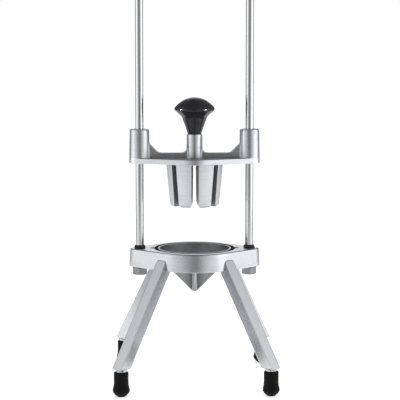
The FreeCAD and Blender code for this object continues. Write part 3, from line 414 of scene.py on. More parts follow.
def softened(profile, radius, steps=4, closed=False):
    """A profile with its corners rounded."""
    out = []
    count = len(profile)
    for i, corner in enumerate(profile):
        if not closed and i in (0, count - 1):
            out.append(corner)
            continue
        here = Vector(corner)
        before = Vector(profile[i - 1])
        after = Vector(profile[(i + 1) % count])
        back = before - here
        ahead = after - here
        turn = back.angle(ahead)
        if turn > math.radians(172):
            out.append(corner)
            continue
        reach = min(radius / math.tan(turn / 2), back.length * 0.45, ahead.length * 0.45)
        start = here + back.normalized() * reach
        end = here + ahead.normalized() * reach
        for step in range(steps + 1):
            share = step / steps
            first = start.lerp(here, share)
            second = here.lerp(end, share)
            out.append(tuple(first.lerp(second, share)))
    return out


def smooth_profile(points, steps):
    """A flowing curve through (radius, height) pairs."""
    out = []
    for i in range(len(points) - 1):
        before = Vector(points[max(i - 1, 0)])
        start = Vector(points[i])
        end = Vector(points[i + 1])
        after = Vector(points[min(i + 2, len(points) - 1)])
        for step in range(steps):
            t = step / steps
            out.append(tuple(0.5 * (2 * start + (end - before) * t
                                    + (2 * before - 5 * start + 4 * end - after) * t * t
                                    + (3 * start - before - 3 * end + after) * t ** 3)))
    out.append(tuple(points[-1]))
    return out


def joined(meshes):
    """One mesh of several."""
    work = bmesh.new()
    for mesh in meshes:
        work.from_mesh(mesh)
    made = bpy.data.meshes.new(meshes[0].name)
    work.to_mesh(made)
    work.free()
    return made


def add_object(name, mesh):
    """Puts a mesh in the scene, at the origin and unturned."""
    made = bpy.data.objects.new(name, mesh)
    bpy.context.scene.collection.objects.link(made)
    return made


def baked(made, keep_layers=False):
    """Replaces an object's mesh by what its modifiers make of it."""
    depsgraph = bpy.context.evaluated_depsgraph_get()
    depsgraph.update()
    result = bpy.data.meshes.new_from_object(made.evaluated_get(depsgraph),
                                             preserve_all_data_layers=keep_layers,
                                             depsgraph=depsgraph)
    result.name = made.name
    made.modifiers.clear()
    made.data = result
    return made


def settled(made, sharp=35.0):
    """Shades an object smooth between its sharp edges and bakes that."""
    mesh = made.data
    for face in mesh.polygons:
        face.use_smooth = True
    mesh.set_sharp_from_angle(angle=math.radians(sharp))
    weighted = made.modifiers.new("even_shading", "WEIGHTED_NORMAL")
    weighted.keep_sharp = True
    weighted.weight = 60
    return baked(made, True)


def merged_copy(name, node):
    """A welded copy of a node's mesh, without the seams inside its flat faces."""
    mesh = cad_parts[node].data.copy()
    mesh.materials.clear()
    work = bmesh.new()
    work.from_mesh(mesh)
    bmesh.ops.remove_doubles(work, verts=work.verts, dist=0.000002)
    bmesh.ops.dissolve_limit(work, angle_limit=math.radians(0.4), verts=work.verts,
                             edges=work.edges, delimit=set())
    work.to_mesh(mesh)
    work.free()
    mesh.name = name
    for attribute in [a.name for a in mesh.attributes if a.name == "custom_normal"]:
        mesh.attributes.remove(mesh.attributes[attribute])
    return add_object(name, mesh)


SLIVER = 0.000005


def eased(made, width, angle=32.0, segments=3, shortest=0.0):
    """Rounds an object's sharp edges, or only the long ones, and welds the slivers left."""
    bevel = made.modifiers.new("eased_edges", "BEVEL")
    bevel.width = width
    bevel.segments = segments
    bevel.limit_method = "WEIGHT" if shortest else "ANGLE"
    bevel.angle_limit = math.radians(angle)
    if shortest:
        mesh = made.data
        weights = mesh.attributes.new("bevel_weight_edge", "FLOAT", "EDGE")
        for edge in mesh.edges:
            first, second = (mesh.vertices[i].co for i in edge.vertices)
            weights.data[edge.index].value = float((first - second).length > shortest)
    bevel.use_clamp_overlap = False
    bevel.miter_outer = "MITER_ARC"
    baked(made)
    work = bmesh.new()
    work.from_mesh(made.data)
    bmesh.ops.remove_doubles(work, verts=work.verts, dist=SLIVER)
    bmesh.ops.dissolve_degenerate(work, dist=SLIVER, edges=work.edges)
    work.to_mesh(made.data)
    work.free()
    return made


def dress(made, body, material, nodes, sharp=35.0):
    """Settles a piece's shading and gives it its material, body and the nodes it replaces."""
    settled(made, sharp)
    if material is not None:
        made.data.materials.clear()
        made.data.materials.append(material)
    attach(made, body)
    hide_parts(*nodes)
    return made


def paint(node, material):
    """Gives a node its material."""
    node_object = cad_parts[node]
    node_object.data.materials.clear()
    node_object.data.materials.append(material)


# Geometry node trees ------------------------------------------------------------------------

class Builder(Graph):
    """A geometry tree with named inputs."""

    def __init__(self, name):
        super().__init__(bpy.data.node_groups.new(name, "GeometryNodeTree"))
        self.tree.interface.new_socket(name="Geometry", in_out="OUTPUT",
                                       socket_type="NodeSocketGeometry")
        self.names = {}
        self.group = self.tree.nodes.new("NodeGroupInput")

    def input(self, name, kind):
        """A named input of the tree."""
        socket = self.tree.interface.new_socket(name=name, in_out="INPUT",
                                                socket_type=f"NodeSocket{kind}")
        self.names[name] = socket.identifier
        return Value(self, next(s for s in self.group.outputs
                                if s.identifier == socket.identifier))

    def with_mirror(self, geometry, scale):
        """The geometry and its mirror image, with the image's faces turned outward."""
        image = self.node("GeometryNodeTransform", None,
                          {"Geometry": geometry, "Scale": scale})
        image = self.node("GeometryNodeFlipFaces", None, {"Mesh": image})
        both = self.tree.nodes.new("GeometryNodeJoinGeometry")
        for part in (image, geometry):
            self.tree.links.new(part.socket, both.inputs[0])
        return Value(self, both.outputs[0])

    def close(self, geometry, material):
        """Ends the tree in real geometry with a material."""
        solid = self.node("GeometryNodeRealizeInstances", None, {"Geometry": geometry})
        coated = self.node("GeometryNodeSetMaterial", None,
                           {"Geometry": solid, "Material": material})
        out = self.tree.nodes.new("NodeGroupOutput")
        self.tree.links.new(coated.socket, out.inputs[0])

    def apply(self, made, values):
        """Runs the tree on an object and bakes what it makes."""
        modifier = made.modifiers.new(self.tree.name, "NODES")
        modifier.node_group = self.tree
        for name, value in values.items():
            modifier[self.names[name]] = value
        return baked(made)


def turning_tree():
    """Repeats the object's mesh about Z."""
    build = Builder("repeat_about_axis")
    piece = build.input("Geometry", "Geometry")
    count = build.input("Count", "Int")
    material = build.input("Material", "Material")
    spots = build.node("GeometryNodePoints", None, {"Count": count})
    index = build.node("GeometryNodeInputIndex")
    turn = index * (2 * math.pi / count)
    copies = build.node("GeometryNodeInstanceOnPoints", None,
                        {"Points": spots, "Instance": piece,
                         "Rotation": build.join(0.0, 0.0, turn)})
    build.close(copies, material)
    return build


def row_tree():
    """Repeats the object's mesh along X; a turn about Z grows from the middle outward."""
    build = Builder("repeat_in_row")
    piece = build.input("Geometry", "Geometry")
    count = build.input("Count", "Int")
    spacing = build.input("Spacing", "Float")
    turn = build.input("Turn", "Float")
    material = build.input("Material", "Material")
    spots = build.node("GeometryNodePoints", None, {"Count": count})
    index = build.node("GeometryNodeInputIndex")
    step = index - (count - 1.0) * 0.5
    placed = build.node("GeometryNodeSetPosition", None,
                        {"Geometry": spots, "Position": build.join(step * spacing, 0.0, 0.0)})
    copies = build.node("GeometryNodeInstanceOnPoints", None,
                        {"Points": placed, "Instance": piece,
                         "Rotation": build.join(0.0, 0.0, step * turn * 2.0)})
    build.close(copies, material)
    return build


def quarters_tree():
    """Repeats the object's mesh in all four quarters, mirrored across the axes."""
    build = Builder("repeat_in_quarters")
    piece = build.input("Geometry", "Geometry")
    material = build.input("Material", "Material")
    half = build.with_mirror(piece, (-1.0, 1.0, 1.0))
    build.close(build.with_mirror(half, (1.0, -1.0, 1.0)), material)
    return build


def thread_tree():
    """Cuts a screw thread into the object's surface between two heights."""
    build = Builder("cut_thread")
    piece = build.input("Geometry", "Geometry")
    pitch = build.input("Pitch", "Float")
    depth = build.input("Depth", "Float")
    low = build.input("Lowest", "Float")
    high = build.input("Highest", "Float")
    material = build.input("Material", "Material")
    x, y, z = build.parts(build.node("GeometryNodeInputPosition"))
    angle = build.math("ARCTAN2", y, x)
    wave = build.math("PINGPONG", z / pitch - angle / (2 * math.pi) + 100.0, 0.5)
    fade = build.between(z, low, low + pitch) * build.between(z, high - pitch, high, 1.0, 0.0)
    cut = 1.0 - wave * 2.0
    shrink = 0.0 - cut * depth * fade
    radius = build.from_axis(x, y)
    side = build.between(radius, 0.0036, 0.0046)
    shift = build.join(x / (radius + 0.000001) * shrink * side,
                       y / (radius + 0.000001) * shrink * side, 0.0)
    moved = build.node("GeometryNodeSetPosition", None, {"Geometry": piece, "Offset": shift})
    build.close(moved, material)
    return build


def round_axis(made, material):
    """Repeats an object four times about Z."""
    return turning_tree().apply(made, {"Count": 4, "Material": material})


def on_both_rods(made, material, turn=0.0):
    """Repeats an object at both rods; turn is the right one's, and the left's is opposite."""
    return row_tree().apply(made, {"Count": 2, "Spacing": 2 * middle_of("guide_rod_right").x,
                                   "Turn": turn, "Material": material})


def on_sides(stem):
    """Names of a left and a right node."""
    return [f"{stem}_{side}" for side in SIDES]


def on_corners(stem):
    """Names of the nodes at the four corners."""
    return [f"{stem}_{corner}" for corner in CORNERS]


def rod_rings(name, body, stem, section, material, steps=72):
    """Turned rings round both rods, in place of a left and a right node."""
    made = add_object(name, lathe("ring", section, steps, ring=True))
    on_both_rods(made, material)
    return dress(made, body, None, on_sides(stem))


# Sizes and colours --------------------------------------------------------------------------

def length(name, description, default):
    """A length of the panel."""
    return bpy.props.FloatProperty(name=name, description=description, default=default,
                                   subtype="DISTANCE", unit="LENGTH", precision=5)


def colour(name, description, default):
    """A colour of the panel."""
    return bpy.props.FloatVectorProperty(name=name, description=description, default=default,
                                         subtype="COLOR", size=3, min=0.0, max=1.0)


def share(name, description, default):
    """A number from 0 to 1 of the panel."""
    return bpy.props.FloatProperty(name=name, description=description, default=default,
                                   min=0.0, max=1.0, subtype="FACTOR")


def angle(name, description, default):
    """An angle of the panel, in radians."""
    return bpy.props.FloatProperty(name=name, description=description, default=default,
                                   subtype="ANGLE", unit="ROTATION")


def power(name, description, default):
    """A lamp's power, in watts."""
    return bpy.props.FloatProperty(name=name, description=description, default=default,
                                   min=0.0, subtype="POWER", unit="POWER")


class PressSizes(bpy.types.PropertyGroup):
    """Sizes that belong to the finish of the press rather than to its frame."""
    casting_edge: length("Casting edges", "Rounding of the castings' edges", 0.0005)
    leg_edge: length("Leg edges", "Rounding of the legs' long edges", 0.0020)
    finger_edge: length("Finger edges", "Rounding of the push block's fingers", 0.0009)
    fastener_edge: length("Fastener edges", "Rounding of nuts, washers and screws", 0.0003)
    nut_turn: angle("Nuts' turn", "Turn of the left nut's corner from the X axis",
                    math.radians(25.0))
    thread_pitch: length("Thread pitch", "Pitch of the rods' thread", 0.0015)
    thread_depth: length("Thread depth", "Depth of the rods' thread", 0.0008)
    slot_axis_half: length("Gap at the axis", "Half of a finger gap, carried to the axis",
                           0.0015)
    slot_rim_half: length("Main gap", "Half of a main gap, just past the disc", 0.00545)
    slot_side_half: length("Slanting gap", "Half of a slanting gap, just past the disc",
                           0.0046)
    slot_side_angle: angle("Slanting gap's angle", "Slanting gap from the X axis",
                           math.radians(42.0))
    slot_flare: length("Gap flare", "Widening of a gap's lower end", 0.0012)
    finger_bore: length("Finger bore", "Radius of the bore inside the fingers", 0.006)
    finger_end: length("Finger end", "Outside of the fingers at their lower end", 0.0308)


class PressColours(bpy.types.PropertyGroup):
    """Colours and skins of the press."""
    casting: colour("Castings", "Cast aluminium", (0.73, 0.75, 0.78))
    legs: colour("Legs", "Brushed aluminium bar", (0.55, 0.565, 0.59))
    fingers: colour("Push block", "Cast aluminium of the push block", (0.74, 0.76, 0.79))
    rods: colour("Rods", "Ground steel", (0.80, 0.81, 0.82))
    blades: colour("Blades", "Stainless sheet", (0.67, 0.685, 0.71))
    hub: colour("Hub", "Turned stainless pin", (0.42, 0.43, 0.44))
    plating: colour("Fasteners", "Zinc plate", (0.52, 0.53, 0.56))
    bronze: colour("Bushes", "Bearing bronze", (0.60, 0.45, 0.22))
    brass: colour("Insert", "Brass", (0.72, 0.56, 0.25))
    rubber: colour("Rubber", "Feet and bumpers", (0.004, 0.004, 0.0045))
    gasket: colour("Gasket", "Gasket rubber", (0.003, 0.003, 0.003))
    knob: colour("Knob", "Polished black plastic", (0.006, 0.006, 0.007))
    casting_skin: share("Casting roughness", "Roughness of the castings", 0.27)
    finger_skin: share("Finger roughness", "Roughness of the push block", 0.50)
    leg_skin: share("Leg roughness", "Roughness of the legs", 0.20)
    rod_skin: share("Rod roughness", "Roughness of the rods", 0.13)
    blade_skin: share("Blade roughness", "Roughness of the blades", 0.24)
    plating_skin: share("Plating roughness", "Roughness of the fasteners", 0.20)
    rubber_skin: share("Rubber roughness", "Roughness of the rubber", 0.42)
    knob_skin: share("Knob roughness", "Roughness of the knob", 0.09)


class PressStage(bpy.types.PropertyGroup):
    """Camera and light."""
    distance: length("Camera distance", "From the camera to what it looks at", 1.9)
    azimuth: angle("Azimuth", "Camera's turn about Z", 0.0242)
    elevation: angle("Elevation", "Camera's tilt", 0.11512)
    lens: bpy.props.FloatProperty(name="Lens", description="Focal length in millimetres",
                                  default=138.59, min=20.0, max=400.0)
    key_light: power("Key lamp", "Power of the key lamp", 16.0)
    fill_light: power("Fill lamp", "Power of the fill lamp", 12.0)
    top_light: power("Top lamp", "Power of the lamp overhead", 10.0)
    strip_light: power("Strips", "Power of each strip that lights the knob", 33.0)
    room_light: share("Room light", "Strength of the even light of the room", 0.75)


def sizes():
    """The panel's sizes."""
    return bpy.context.scene.press_sizes


def colours():
    """The panel's colours."""
    return bpy.context.scene.press_colours


def top_of(node):
    """Greatest height of a node."""
    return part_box(node)[1].z


def bottom_of(node):
    """Least height of a node."""
    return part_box(node)[0].z


def middle_of(node):
    """Middle of a node's box."""
    low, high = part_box(node)
    return (low + high) / 2


def top_radius(node):
    """Half of a turned node's width."""
    low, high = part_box(node)
    return (high.x - low.x) / 2


# Radius of the bumpers' and bushes' bores, with their gap round the rods.
ROD_BORE = 0.00505


# Pieces -------------------------------------------------------------------------------------

class PRESS_OT_base_casting(bpy.types.Operator):
    """Builds the base casting with eased edges"""
    bl_idname = "press.base_casting"
    bl_label = "Base casting"

    def execute(self, context):
        made = eased(merged_copy("base_casting", "base_frame"), sizes().casting_edge)
        material = cast_finish("base_cast_aluminium", colours().casting,
                               colours().casting_skin, 1.0, bevel_shade=0.8)
        dress(made, "base", material, ["base_frame"])
        return {"FINISHED"}


class PRESS_OT_guide_rods(bpy.types.Operator):
    """Turns the two guide rods and cuts their threads"""
    bl_idname = "press.guide_rods"
    bl_label = "Guide rods"

    def execute(self, context):
        low = bottom_of("guide_rod_left")
        high = top_of("guide_rod_left")
        radius = top_radius("guide_rod_right")
        thread_top = top_of("base_frame") - 0.004
        rows = [low + 0.001 + (thread_top - low - 0.001) * i / 260 for i in range(261)]
        profile = softened([(0.0, low), (radius - 0.001, low), (radius, low + 0.001)],
                           0.0002, 2)[:-1]
        profile += [(radius, row) for row in rows]
        profile += softened([(radius, thread_top + 0.001), (radius, high - 0.001),
                             (radius - 0.001, high), (0.0, high)], 0.0003, 3)
        made = add_object("ground_guide_rods", lathe("rod", profile, 72))
        material = ground_finish("ground_steel", colours().rods, colours().rod_skin)
        thread_tree().apply(made, {"Pitch": sizes().thread_pitch,
                                   "Depth": sizes().thread_depth, "Lowest": low,
                                   "Highest": thread_top, "Material": material})
        on_both_rods(made, material)
        dress(made, "base", None, on_sides("guide_rod"), 50.0)
        return {"FINISHED"}


class PRESS_OT_bumpers(bpy.types.Operator):
    """Moulds the rubber bumpers that the pusher lands on"""
    bl_idname = "press.bumpers"
    bl_label = "Bumpers"

    def execute(self, context):
        low = bottom_of("rod_bumper_left")
        high = top_of("rod_bumper_left")
        outer = top_radius("rod_bumper_right")
        section = softened([(ROD_BORE, high), (ROD_BORE, low), (outer, low),
                            (outer, low + 0.0014), (outer - 0.0005, high - 0.0012),
                            (outer - 0.0012, high)], 0.0006, 4, True)
        material = rubber_finish("bumper_rubber", colours().rubber, colours().rubber_skin,
                                 0.00002)
        rod_rings("rubber_bumpers", "base", "rod_bumper", section, material,
                  64)
        return {"FINISHED"}


def hexagon_reach(angle, flats):
    """Distance to a hexagon's side in one direction, with a corner at angle 0."""
    turn = (angle + math.pi / 6) % (math.pi / 3) - math.pi / 6
    return flats / math.cos(math.pi / 6 - abs(turn))


def hexagon_loop(height, flats, limit, steps):
    """A level hexagon that a circle of radius limit trims."""
    loop = []
    for i in range(steps):
        angle = 2 * math.pi * i / steps
        reach = min(hexagon_reach(angle, flats), limit)
        loop.append(Vector((reach * math.cos(angle), reach * math.sin(angle), height)))
    return loop


class PRESS_OT_nuts(bpy.types.Operator):
    """Forges the two rod nuts and stamps their washers"""
    bl_idname = "press.nuts"
    bl_label = "Nuts and washers"

    def execute(self, context):
        low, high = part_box("rod_nut_right")
        turn = sizes().nut_turn
        corner = (high.x - low.x) / 2 / math.cos(turn)
        flats = corner * math.cos(math.pi / 6)
        bore = 0.00502
        countersink = bore + 0.0007
        face = flats - 0.0003
        shave = corner - flats + 0.0002
        steps = 96
        loops = [circle(bore, high.z - 0.0008, steps), circle(bore, low.z + 0.0008, steps),
                 circle(countersink, low.z, steps), circle(face, low.z, steps)]
        for i in range(9):
            rise = i / 8
            loops.append(hexagon_loop(low.z + 0.0009 * rise + 0.00005, flats,
                                      flats + shave * rise, steps))
        for i in range(9):
            rise = 1 - i / 8
            loops.append(hexagon_loop(high.z - 0.0009 * rise - 0.00005, flats,
                                      flats + shave * rise, steps))
        loops += [circle(face, high.z, steps), circle(countersink, high.z, steps)]
        made = add_object("rod_nuts", loft("nut", loops, True))
        material = plated_finish("zinc_plate", rgba(colours().plating, 0.62),
                                 colours().plating_skin)
        on_both_rods(made, material, -turn)
        dress(made, "base", None, on_sides("rod_nut"), 24.0)

        low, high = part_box("rod_washer_right")
        outer = top_radius("rod_washer_right")
        inner = 0.00525
        section = softened([(inner, high.z), (inner, low.z), (outer, low.z),
                            (outer, high.z)], sizes().fastener_edge, 3, True)
        # Painted shade: the washers under the base's lobes take the plating at 0.4 of its colour,
        # for the shade there.
        material = plated_finish("blued_plate", rgba(colours().plating, 0.4), 0.3)
        rod_rings("rod_washers", "base", "rod_washer", section, material, 96)
        return {"FINISHED"}


class PRESS_OT_legs(bpy.types.Operator):
    """Cuts the four splayed legs"""
    bl_idname = "press.legs"
    bl_label = "Legs"

    def execute(self, context):
        made = eased(merged_copy("splayed_legs", "leg_rear_right"), sizes().leg_edge,
                     segments=5, shortest=0.05)
        made.data.attributes.remove(made.data.attributes["bevel_weight_edge"])
        made = eased(made, sizes().casting_edge)
        material = leg_finish("brushed_bar", colours().legs, colours().leg_skin)
        round_axis(made, material)
        dress(made, "base", None, on_corners("leg"))
        return {"FINISHED"}


FOOT_PROFILE = [(3.6, 0.0), (4.6, 0.25), (6.3, 1.5), (7.66, 2.7), (8.72, 3.9), (9.5, 5.1),
                (10.25, 6.5), (10.4, 7.5), (10.2, 9.2), (9.75, 11.0), (9.35, 13.0),
                (9.08, 14.8), (8.97, 17.0), (8.93, 22.0), (8.93, 28.6), (8.8, 29.4),
                (8.45, 29.95), (7.9, 30.2)]


FOOT_TOP = 0.0302
SOCKET_TOP = 0.0052
SOCKET_MOUTH = 0.0042
SOCKET_RADIUS = 0.00403
SOCKET_END = 0.0114


class PRESS_OT_feet(bpy.types.Operator):
    """Moulds the four rubber feet"""
    bl_idname = "press.feet"
    bl_label = "Rubber feet"

    def execute(self, context):
        centre = middle_of("rubber_foot_rear_right")
        outline = smooth_profile([(r * MM, z * MM) for r, z in FOOT_PROFILE], 4)
        inner = softened([(outline[-1][0], FOOT_TOP), (SOCKET_TOP, FOOT_TOP),
                          (SOCKET_MOUTH, FOOT_TOP - MM), (SOCKET_RADIUS, SOCKET_END),
                          (0.0, SOCKET_END)], 0.0004, 3)
        profile = [(0.0, 0.0)] + outline + inner[1:]
        made = add_object("moulded_feet",
                          lathe("foot", profile, 80, (centre.x, centre.y)))
        material = rubber_finish("foot_rubber", colours().rubber, colours().rubber_skin,
                                 0.00003, 0.09)
        round_axis(made, material)
        dress(made, "base", None, on_corners("rubber_foot"), 50.0)
        return {"FINISHED"}


def countersunk_screw(name, shank, head, long, steps=60):
    """A countersunk screw along +Z with its head's face at height 0 and a hexagon socket."""
    rim = 0.0002
    socket = shank * 0.62
    flats = socket * math.cos(math.pi / 6)
    loops = [circle(0.00005, -long, steps), circle(shank * 0.8, -long, steps),
             circle(shank, -long + shank * 0.25, steps)]
    turns = int((long - (head - shank)) / (shank * 0.14))
    for i in range(1, turns):
        height = -long + shank * 0.25 + (long - (head - shank) - shank * 0.3) * i / turns
        loops.append(circle(shank - (shank * 0.09 if i % 2 else 0.0), height, steps))
    loops += [circle(shank, -(head - shank), steps), circle(head - rim, -rim * 1.4, steps),
              circle(head - rim * 0.1, -rim, steps), circle(head - rim * 0.4, -rim * 0.2, steps),
              circle(head - rim * 1.2, 0.0, steps),
              hexagon_loop(0.0, flats * 1.12, 1.0, steps),
              hexagon_loop(-0.00012, flats, 1.0, steps),
              hexagon_loop(-0.0014, flats, 1.0, steps),
              circle(0.00005, -0.0018, steps)]
    return loft(name, loops)


class PRESS_OT_screws(bpy.types.Operator):
    """Makes the leg screws and the push block screws"""
    bl_idname = "press.screws"
    bl_label = "Screws"

    def execute(self, context):
        material = plated_finish("screw_plate", colours().plating, colours().plating_skin)
        low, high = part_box("leg_screws")
        level = (low.z + high.z) / 2
        head = (high.z - low.z) / 2
        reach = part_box("blade_ring")[1].x + 0.0005
        mesh = countersunk_screw("leg_screw", 0.002, head, 0.009)
        mesh.transform(Matrix.Rotation(math.pi / 4, 4, "Z")
                       @ Matrix.Translation((reach, 0.0, level))
                       @ Matrix.Rotation(-math.pi / 2, 4, "Y"))
        made = add_object("leg_fixing_screws", mesh)
        round_axis(made, material)
        dress(made, "base", None, ["leg_screws"], 40.0)

        low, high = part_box("push_block_screws")
        head = 0.0039
        across = high.x - head
        back = high.y - head
        mesh = countersunk_screw("block_screw", 0.002, head, high.z - low.z)
        mesh.transform(Matrix.Translation((across, back, high.z)))
        made = add_object("block_fixing_screws", mesh)
        quarters_tree().apply(made, {"Material": material})
        dress(made, "pusher", None, ["push_block_screws"], 40.0)
        return {"FINISHED"}


class PRESS_OT_blade_set(bpy.types.Operator):
    """Builds the lift-out blade set: ring, blades and hub"""
    bl_idname = "press.blade_set"
    bl_label = "Blade set"

    def execute(self, context):
        material = blade_finish("blade_stainless", colours().blades, colours().blade_skin)
        ring = eased(merged_copy("blade_sleeve", "blade_ring"), 0.0003)
        bright = sleeve_finish("sleeve_stainless", colours().rods, 0.22,
                               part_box("blade_ring")[1].x)
        dress(ring, "base", bright, ["blade_ring"])

        blades = merged_copy("radial_blades", "blade_right")
        round_axis(blades, material)
        dress(blades, "base", None,
              ["blade_left", "blade_right", "blade_front", "blade_rear"], 12.0)

        low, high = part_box("blade_hub")
        radius = high.x
        slot = 0.0005
        mesh = hub_mesh(radius, slot, low.z, high.z)
        hub = add_object("pointed_hub", mesh)
        dress(hub, "base", ground_finish("hub_stainless", colours().hub, 0.2),
              ["blade_hub"], 40.0)
        return {"FINISHED"}


def hub_mesh(radius, slot, low, high):
    """The blades' pointed pin, with a slot for each blade."""
    steps = 96
    depth = 0.0008
    top_of_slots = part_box("blade_front")[1].z - 0.029
    levels = softened([(0.0, low), (radius - 0.0004, low), (radius, low + 0.0004),
                       (radius, high - 0.008), (0.0004, high - 0.0001), (0.0, high)],
                      0.0003, 4)
    loops = []
    for reach, height in levels:
        loops.append(circle(max(reach, 0.00005), height, steps))
    split = max(i for i, (_, height) in enumerate(levels) if height < top_of_slots)
    cut = []
    for height in (top_of_slots - 0.0001, top_of_slots):
        cut.append(circle(radius, height, steps))
    loops[split + 1:split + 1] = cut
    for loop in loops[1:split + 2]:
        for point in loop:
            across = min(abs(point.x), abs(point.y))
            if across < slot and max(abs(point.x), abs(point.y)) > radius - depth:
                if abs(point.x) > abs(point.y):
                    point.x = math.copysign(radius - depth, point.x)
                else:
                    point.y = math.copysign(radius - depth, point.y)
    return loft("hub", loops)


class PRESS_OT_gasket(bpy.types.Operator):
    """Moulds the gasket round the blade set"""
    bl_idname = "press.gasket"
    bl_label = "Gasket"

    def execute(self, context):
        made = eased(merged_copy("eared_gasket", "blade_gasket"), 0.0002, 50.0, 2)
        material = rubber_finish("gasket_rubber", colours().gasket, 0.6, 0.000012, 0.03)
        dress(made, "base", material, ["blade_gasket"], 40.0)
        return {"FINISHED"}


class PRESS_OT_push_head(bpy.types.Operator):
    """Builds the pusher's casting and its guide bushes"""
    bl_idname = "press.push_head"
    bl_label = "Pusher casting"

    def execute(self, context):
        made = eased(merged_copy("pusher_casting", "push_head"), sizes().casting_edge)
        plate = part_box("push_block")[1].z + 0.0028
        material = cast_finish("pusher_cast_aluminium", colours().casting,
                               colours().casting_skin, 0.4,
                               shaded_level_band=(plate - 0.0003, plate + 0.006), lit_upright_band=(plate, 1.22))
        dress(made, "pusher", material, ["push_head"])
        bronze = turned_finish("bush_bronze", colours().bronze, 0.28)
        for level in ("lower", "upper"):
            low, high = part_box(f"{level}_bush_right")
            outer = top_radius(f"{level}_bush_right")
            section = softened([(ROD_BORE, high.z), (ROD_BORE, low.z), (outer, low.z),
                                (outer, high.z)], sizes().fastener_edge, 3, True)
            rod_rings(f"{level}_guide_bushes", "pusher", f"{level}_bush", section, bronze)
        return {"FINISHED"}


def gap_edge(distance, half, slope):
    """Bearing of a gap's wall from the gap's own middle, at a distance from the axis."""
    along = (math.sqrt(distance ** 2 * (1 + slope ** 2) - half ** 2) - half * slope) \
        / (1 + slope ** 2)
    return math.atan2(half + slope * along, along)


def finger_loop(height, radius, bore, first, second, corner, steps=8):
    """One level section of a finger between two gaps, each (bearing, axis half, slope)."""
    def ends(distance):
        return (first[0] + gap_edge(distance, *first[1:]),
                second[0] - gap_edge(distance, *second[1:]))

    inner = bore
    while (ends(inner)[1] - ends(inner)[0]) * inner < 0.0006:
        inner += 0.00005
    low, high = ends(radius)
    section = [(inner, ends(inner)[0])]
    section += [(radius, low + (high - low) * i / steps) for i in range(steps + 1)]
    section.append((inner, ends(inner)[1]))
    section = [(reach * math.cos(bearing), reach * math.sin(bearing))
               for reach, bearing in section]
    rounded = []
    for i, point in enumerate(section):
        if i in (0, 1, steps + 1, steps + 2):
            rounded += corner_arc(section, i, corner)
        else:
            rounded.append(point)
    return [Vector((x, y, height)) for x, y in rounded]


def corner_arc(section, index, radius, steps=5):
    """The rounding of one corner of a closed section."""
    here = Vector(section[index])
    back = Vector(section[index - 1]) - here
    ahead = Vector(section[(index + 1) % len(section)]) - here
    start = here + back.normalized() * min(radius, back.length * 0.48)
    end = here + ahead.normalized() * min(radius, ahead.length * 0.48)
    return [tuple(start.lerp(here, s / steps).lerp(here.lerp(end, s / steps), s / steps))
            for s in range(steps + 1)]


class PRESS_OT_push_block(bpy.types.Operator):
    """Builds the push block: the two fingers of one quarter, repeated, and the disc"""
    bl_idname = "press.push_block"
    bl_label = "Push block"

    def execute(self, context):
        low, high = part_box("push_block")
        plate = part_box("push_head")[0].z + 0.0008
        size = sizes()
        reach = high.x + 0.001
        draft = math.tan(math.radians(0.65))
        heights = [0.0, 0.0004, 0.0009, 0.0016, 0.0024, 0.004, 0.0048]
        heights += [0.0048 + (plate - low.z - 0.0048) * i / 10 for i in range(1, 11)]
        fingers = []
        for ends in (((0.0, size.slot_rim_half), (size.slot_side_angle, size.slot_side_half)),
                     ((size.slot_side_angle, size.slot_side_half),
                      (math.pi / 2, size.slot_rim_half))):
            loops = []
            for rise in heights:
                outer = size.finger_end + (high.x - size.finger_end) * max(
                    rise - 0.0016, 0.0) / (plate - low.z - 0.0016) - max(0.0016 - rise, 0.0)
                flare = size.slot_flare * max(1.0 - rise / 0.004, 0.0)
                ease = 0.0003 * max(1.0 - rise / 0.0005, 0.0)
                gaps = [(bearing, size.slot_axis_half + flare + ease - rise * draft,
                         (rim_half - size.slot_axis_half) / reach)
                        for bearing, rim_half in ends]
                loops.append(finger_loop(low.z + rise, outer - ease, size.finger_bore + ease,
                                         *gaps, size.finger_edge))
            loops.append([point + Vector((0.0, 0.0, 0.0002)) for point in loops[-1]])
            fingers.append(loft("finger", loops))
        made = add_object("push_block_fingers", joined(fingers))
        material = cast_finish("block_cast_aluminium", colours().fingers,
                               colours().finger_skin, 0.15, metal=0.75,
                               gap_shade_cone=((size.finger_end, low.z), (high.x, plate)))
        quarters_tree().apply(made, {"Material": material})
        disc = lathe("disc", softened([(0.0, plate), (high.x, plate), (high.x, high.z),
                                       (0.0, high.z)], 0.0003, 3), 120)
        made.data = joined([made.data, disc])
        dress(made, "pusher", material, ["push_block"], 40.0)
        return {"FINISHED"}


KNOB_PROFILE = [(8.3, 0.0), (9.45, 3.6), (11.05, 8.6), (12.85, 13.6), (14.5, 18.2),
                (15.2, 19.9), (16.6, 22.0), (18.8, 24.0), (21.3, 26.3), (23.4, 28.3),
                (24.45, 29.5), (24.9, 30.6), (24.95, 31.5), (24.75, 32.5), (23.9, 33.9),
                (22.3, 35.7), (20.3, 37.4), (17.2, 39.9), (13.3, 42.4), (9.0, 44.2),
                (4.6, 45.25), (1.5, 45.56), (0.0, 45.6)]


class PRESS_OT_knob(bpy.types.Operator):
    """Turns the knob, and finishes its insert and stud"""
    bl_idname = "press.knob"
    bl_label = "Knob"

    def execute(self, context):
        foot = bottom_of("knob")
        outline = smooth_profile([(r * MM, foot + z * MM) for r, z in KNOB_PROFILE], 5)
        bore = 0.00602
        inside = softened([(0.0, foot + 0.017), (bore, foot + 0.017), (bore, foot),
                           (outline[0][0] - 0.0002, foot), outline[0]], 0.0003, 3)
        made = add_object("mushroom_knob", lathe("knob", inside[:-1] + outline, 128))
        material = knob_finish("polished_black", colours().knob, colours().knob_skin)
        dress(made, "pusher", material, ["knob"], 50.0)
        paint("knob_insert", turned_finish("insert_brass", colours().brass, 0.25))
        paint("knob_stud", plated_finish("stud_plate", colours().plating, 0.25))
        return {"FINISHED"}


# Stage --------------------------------------------------------------------------------------

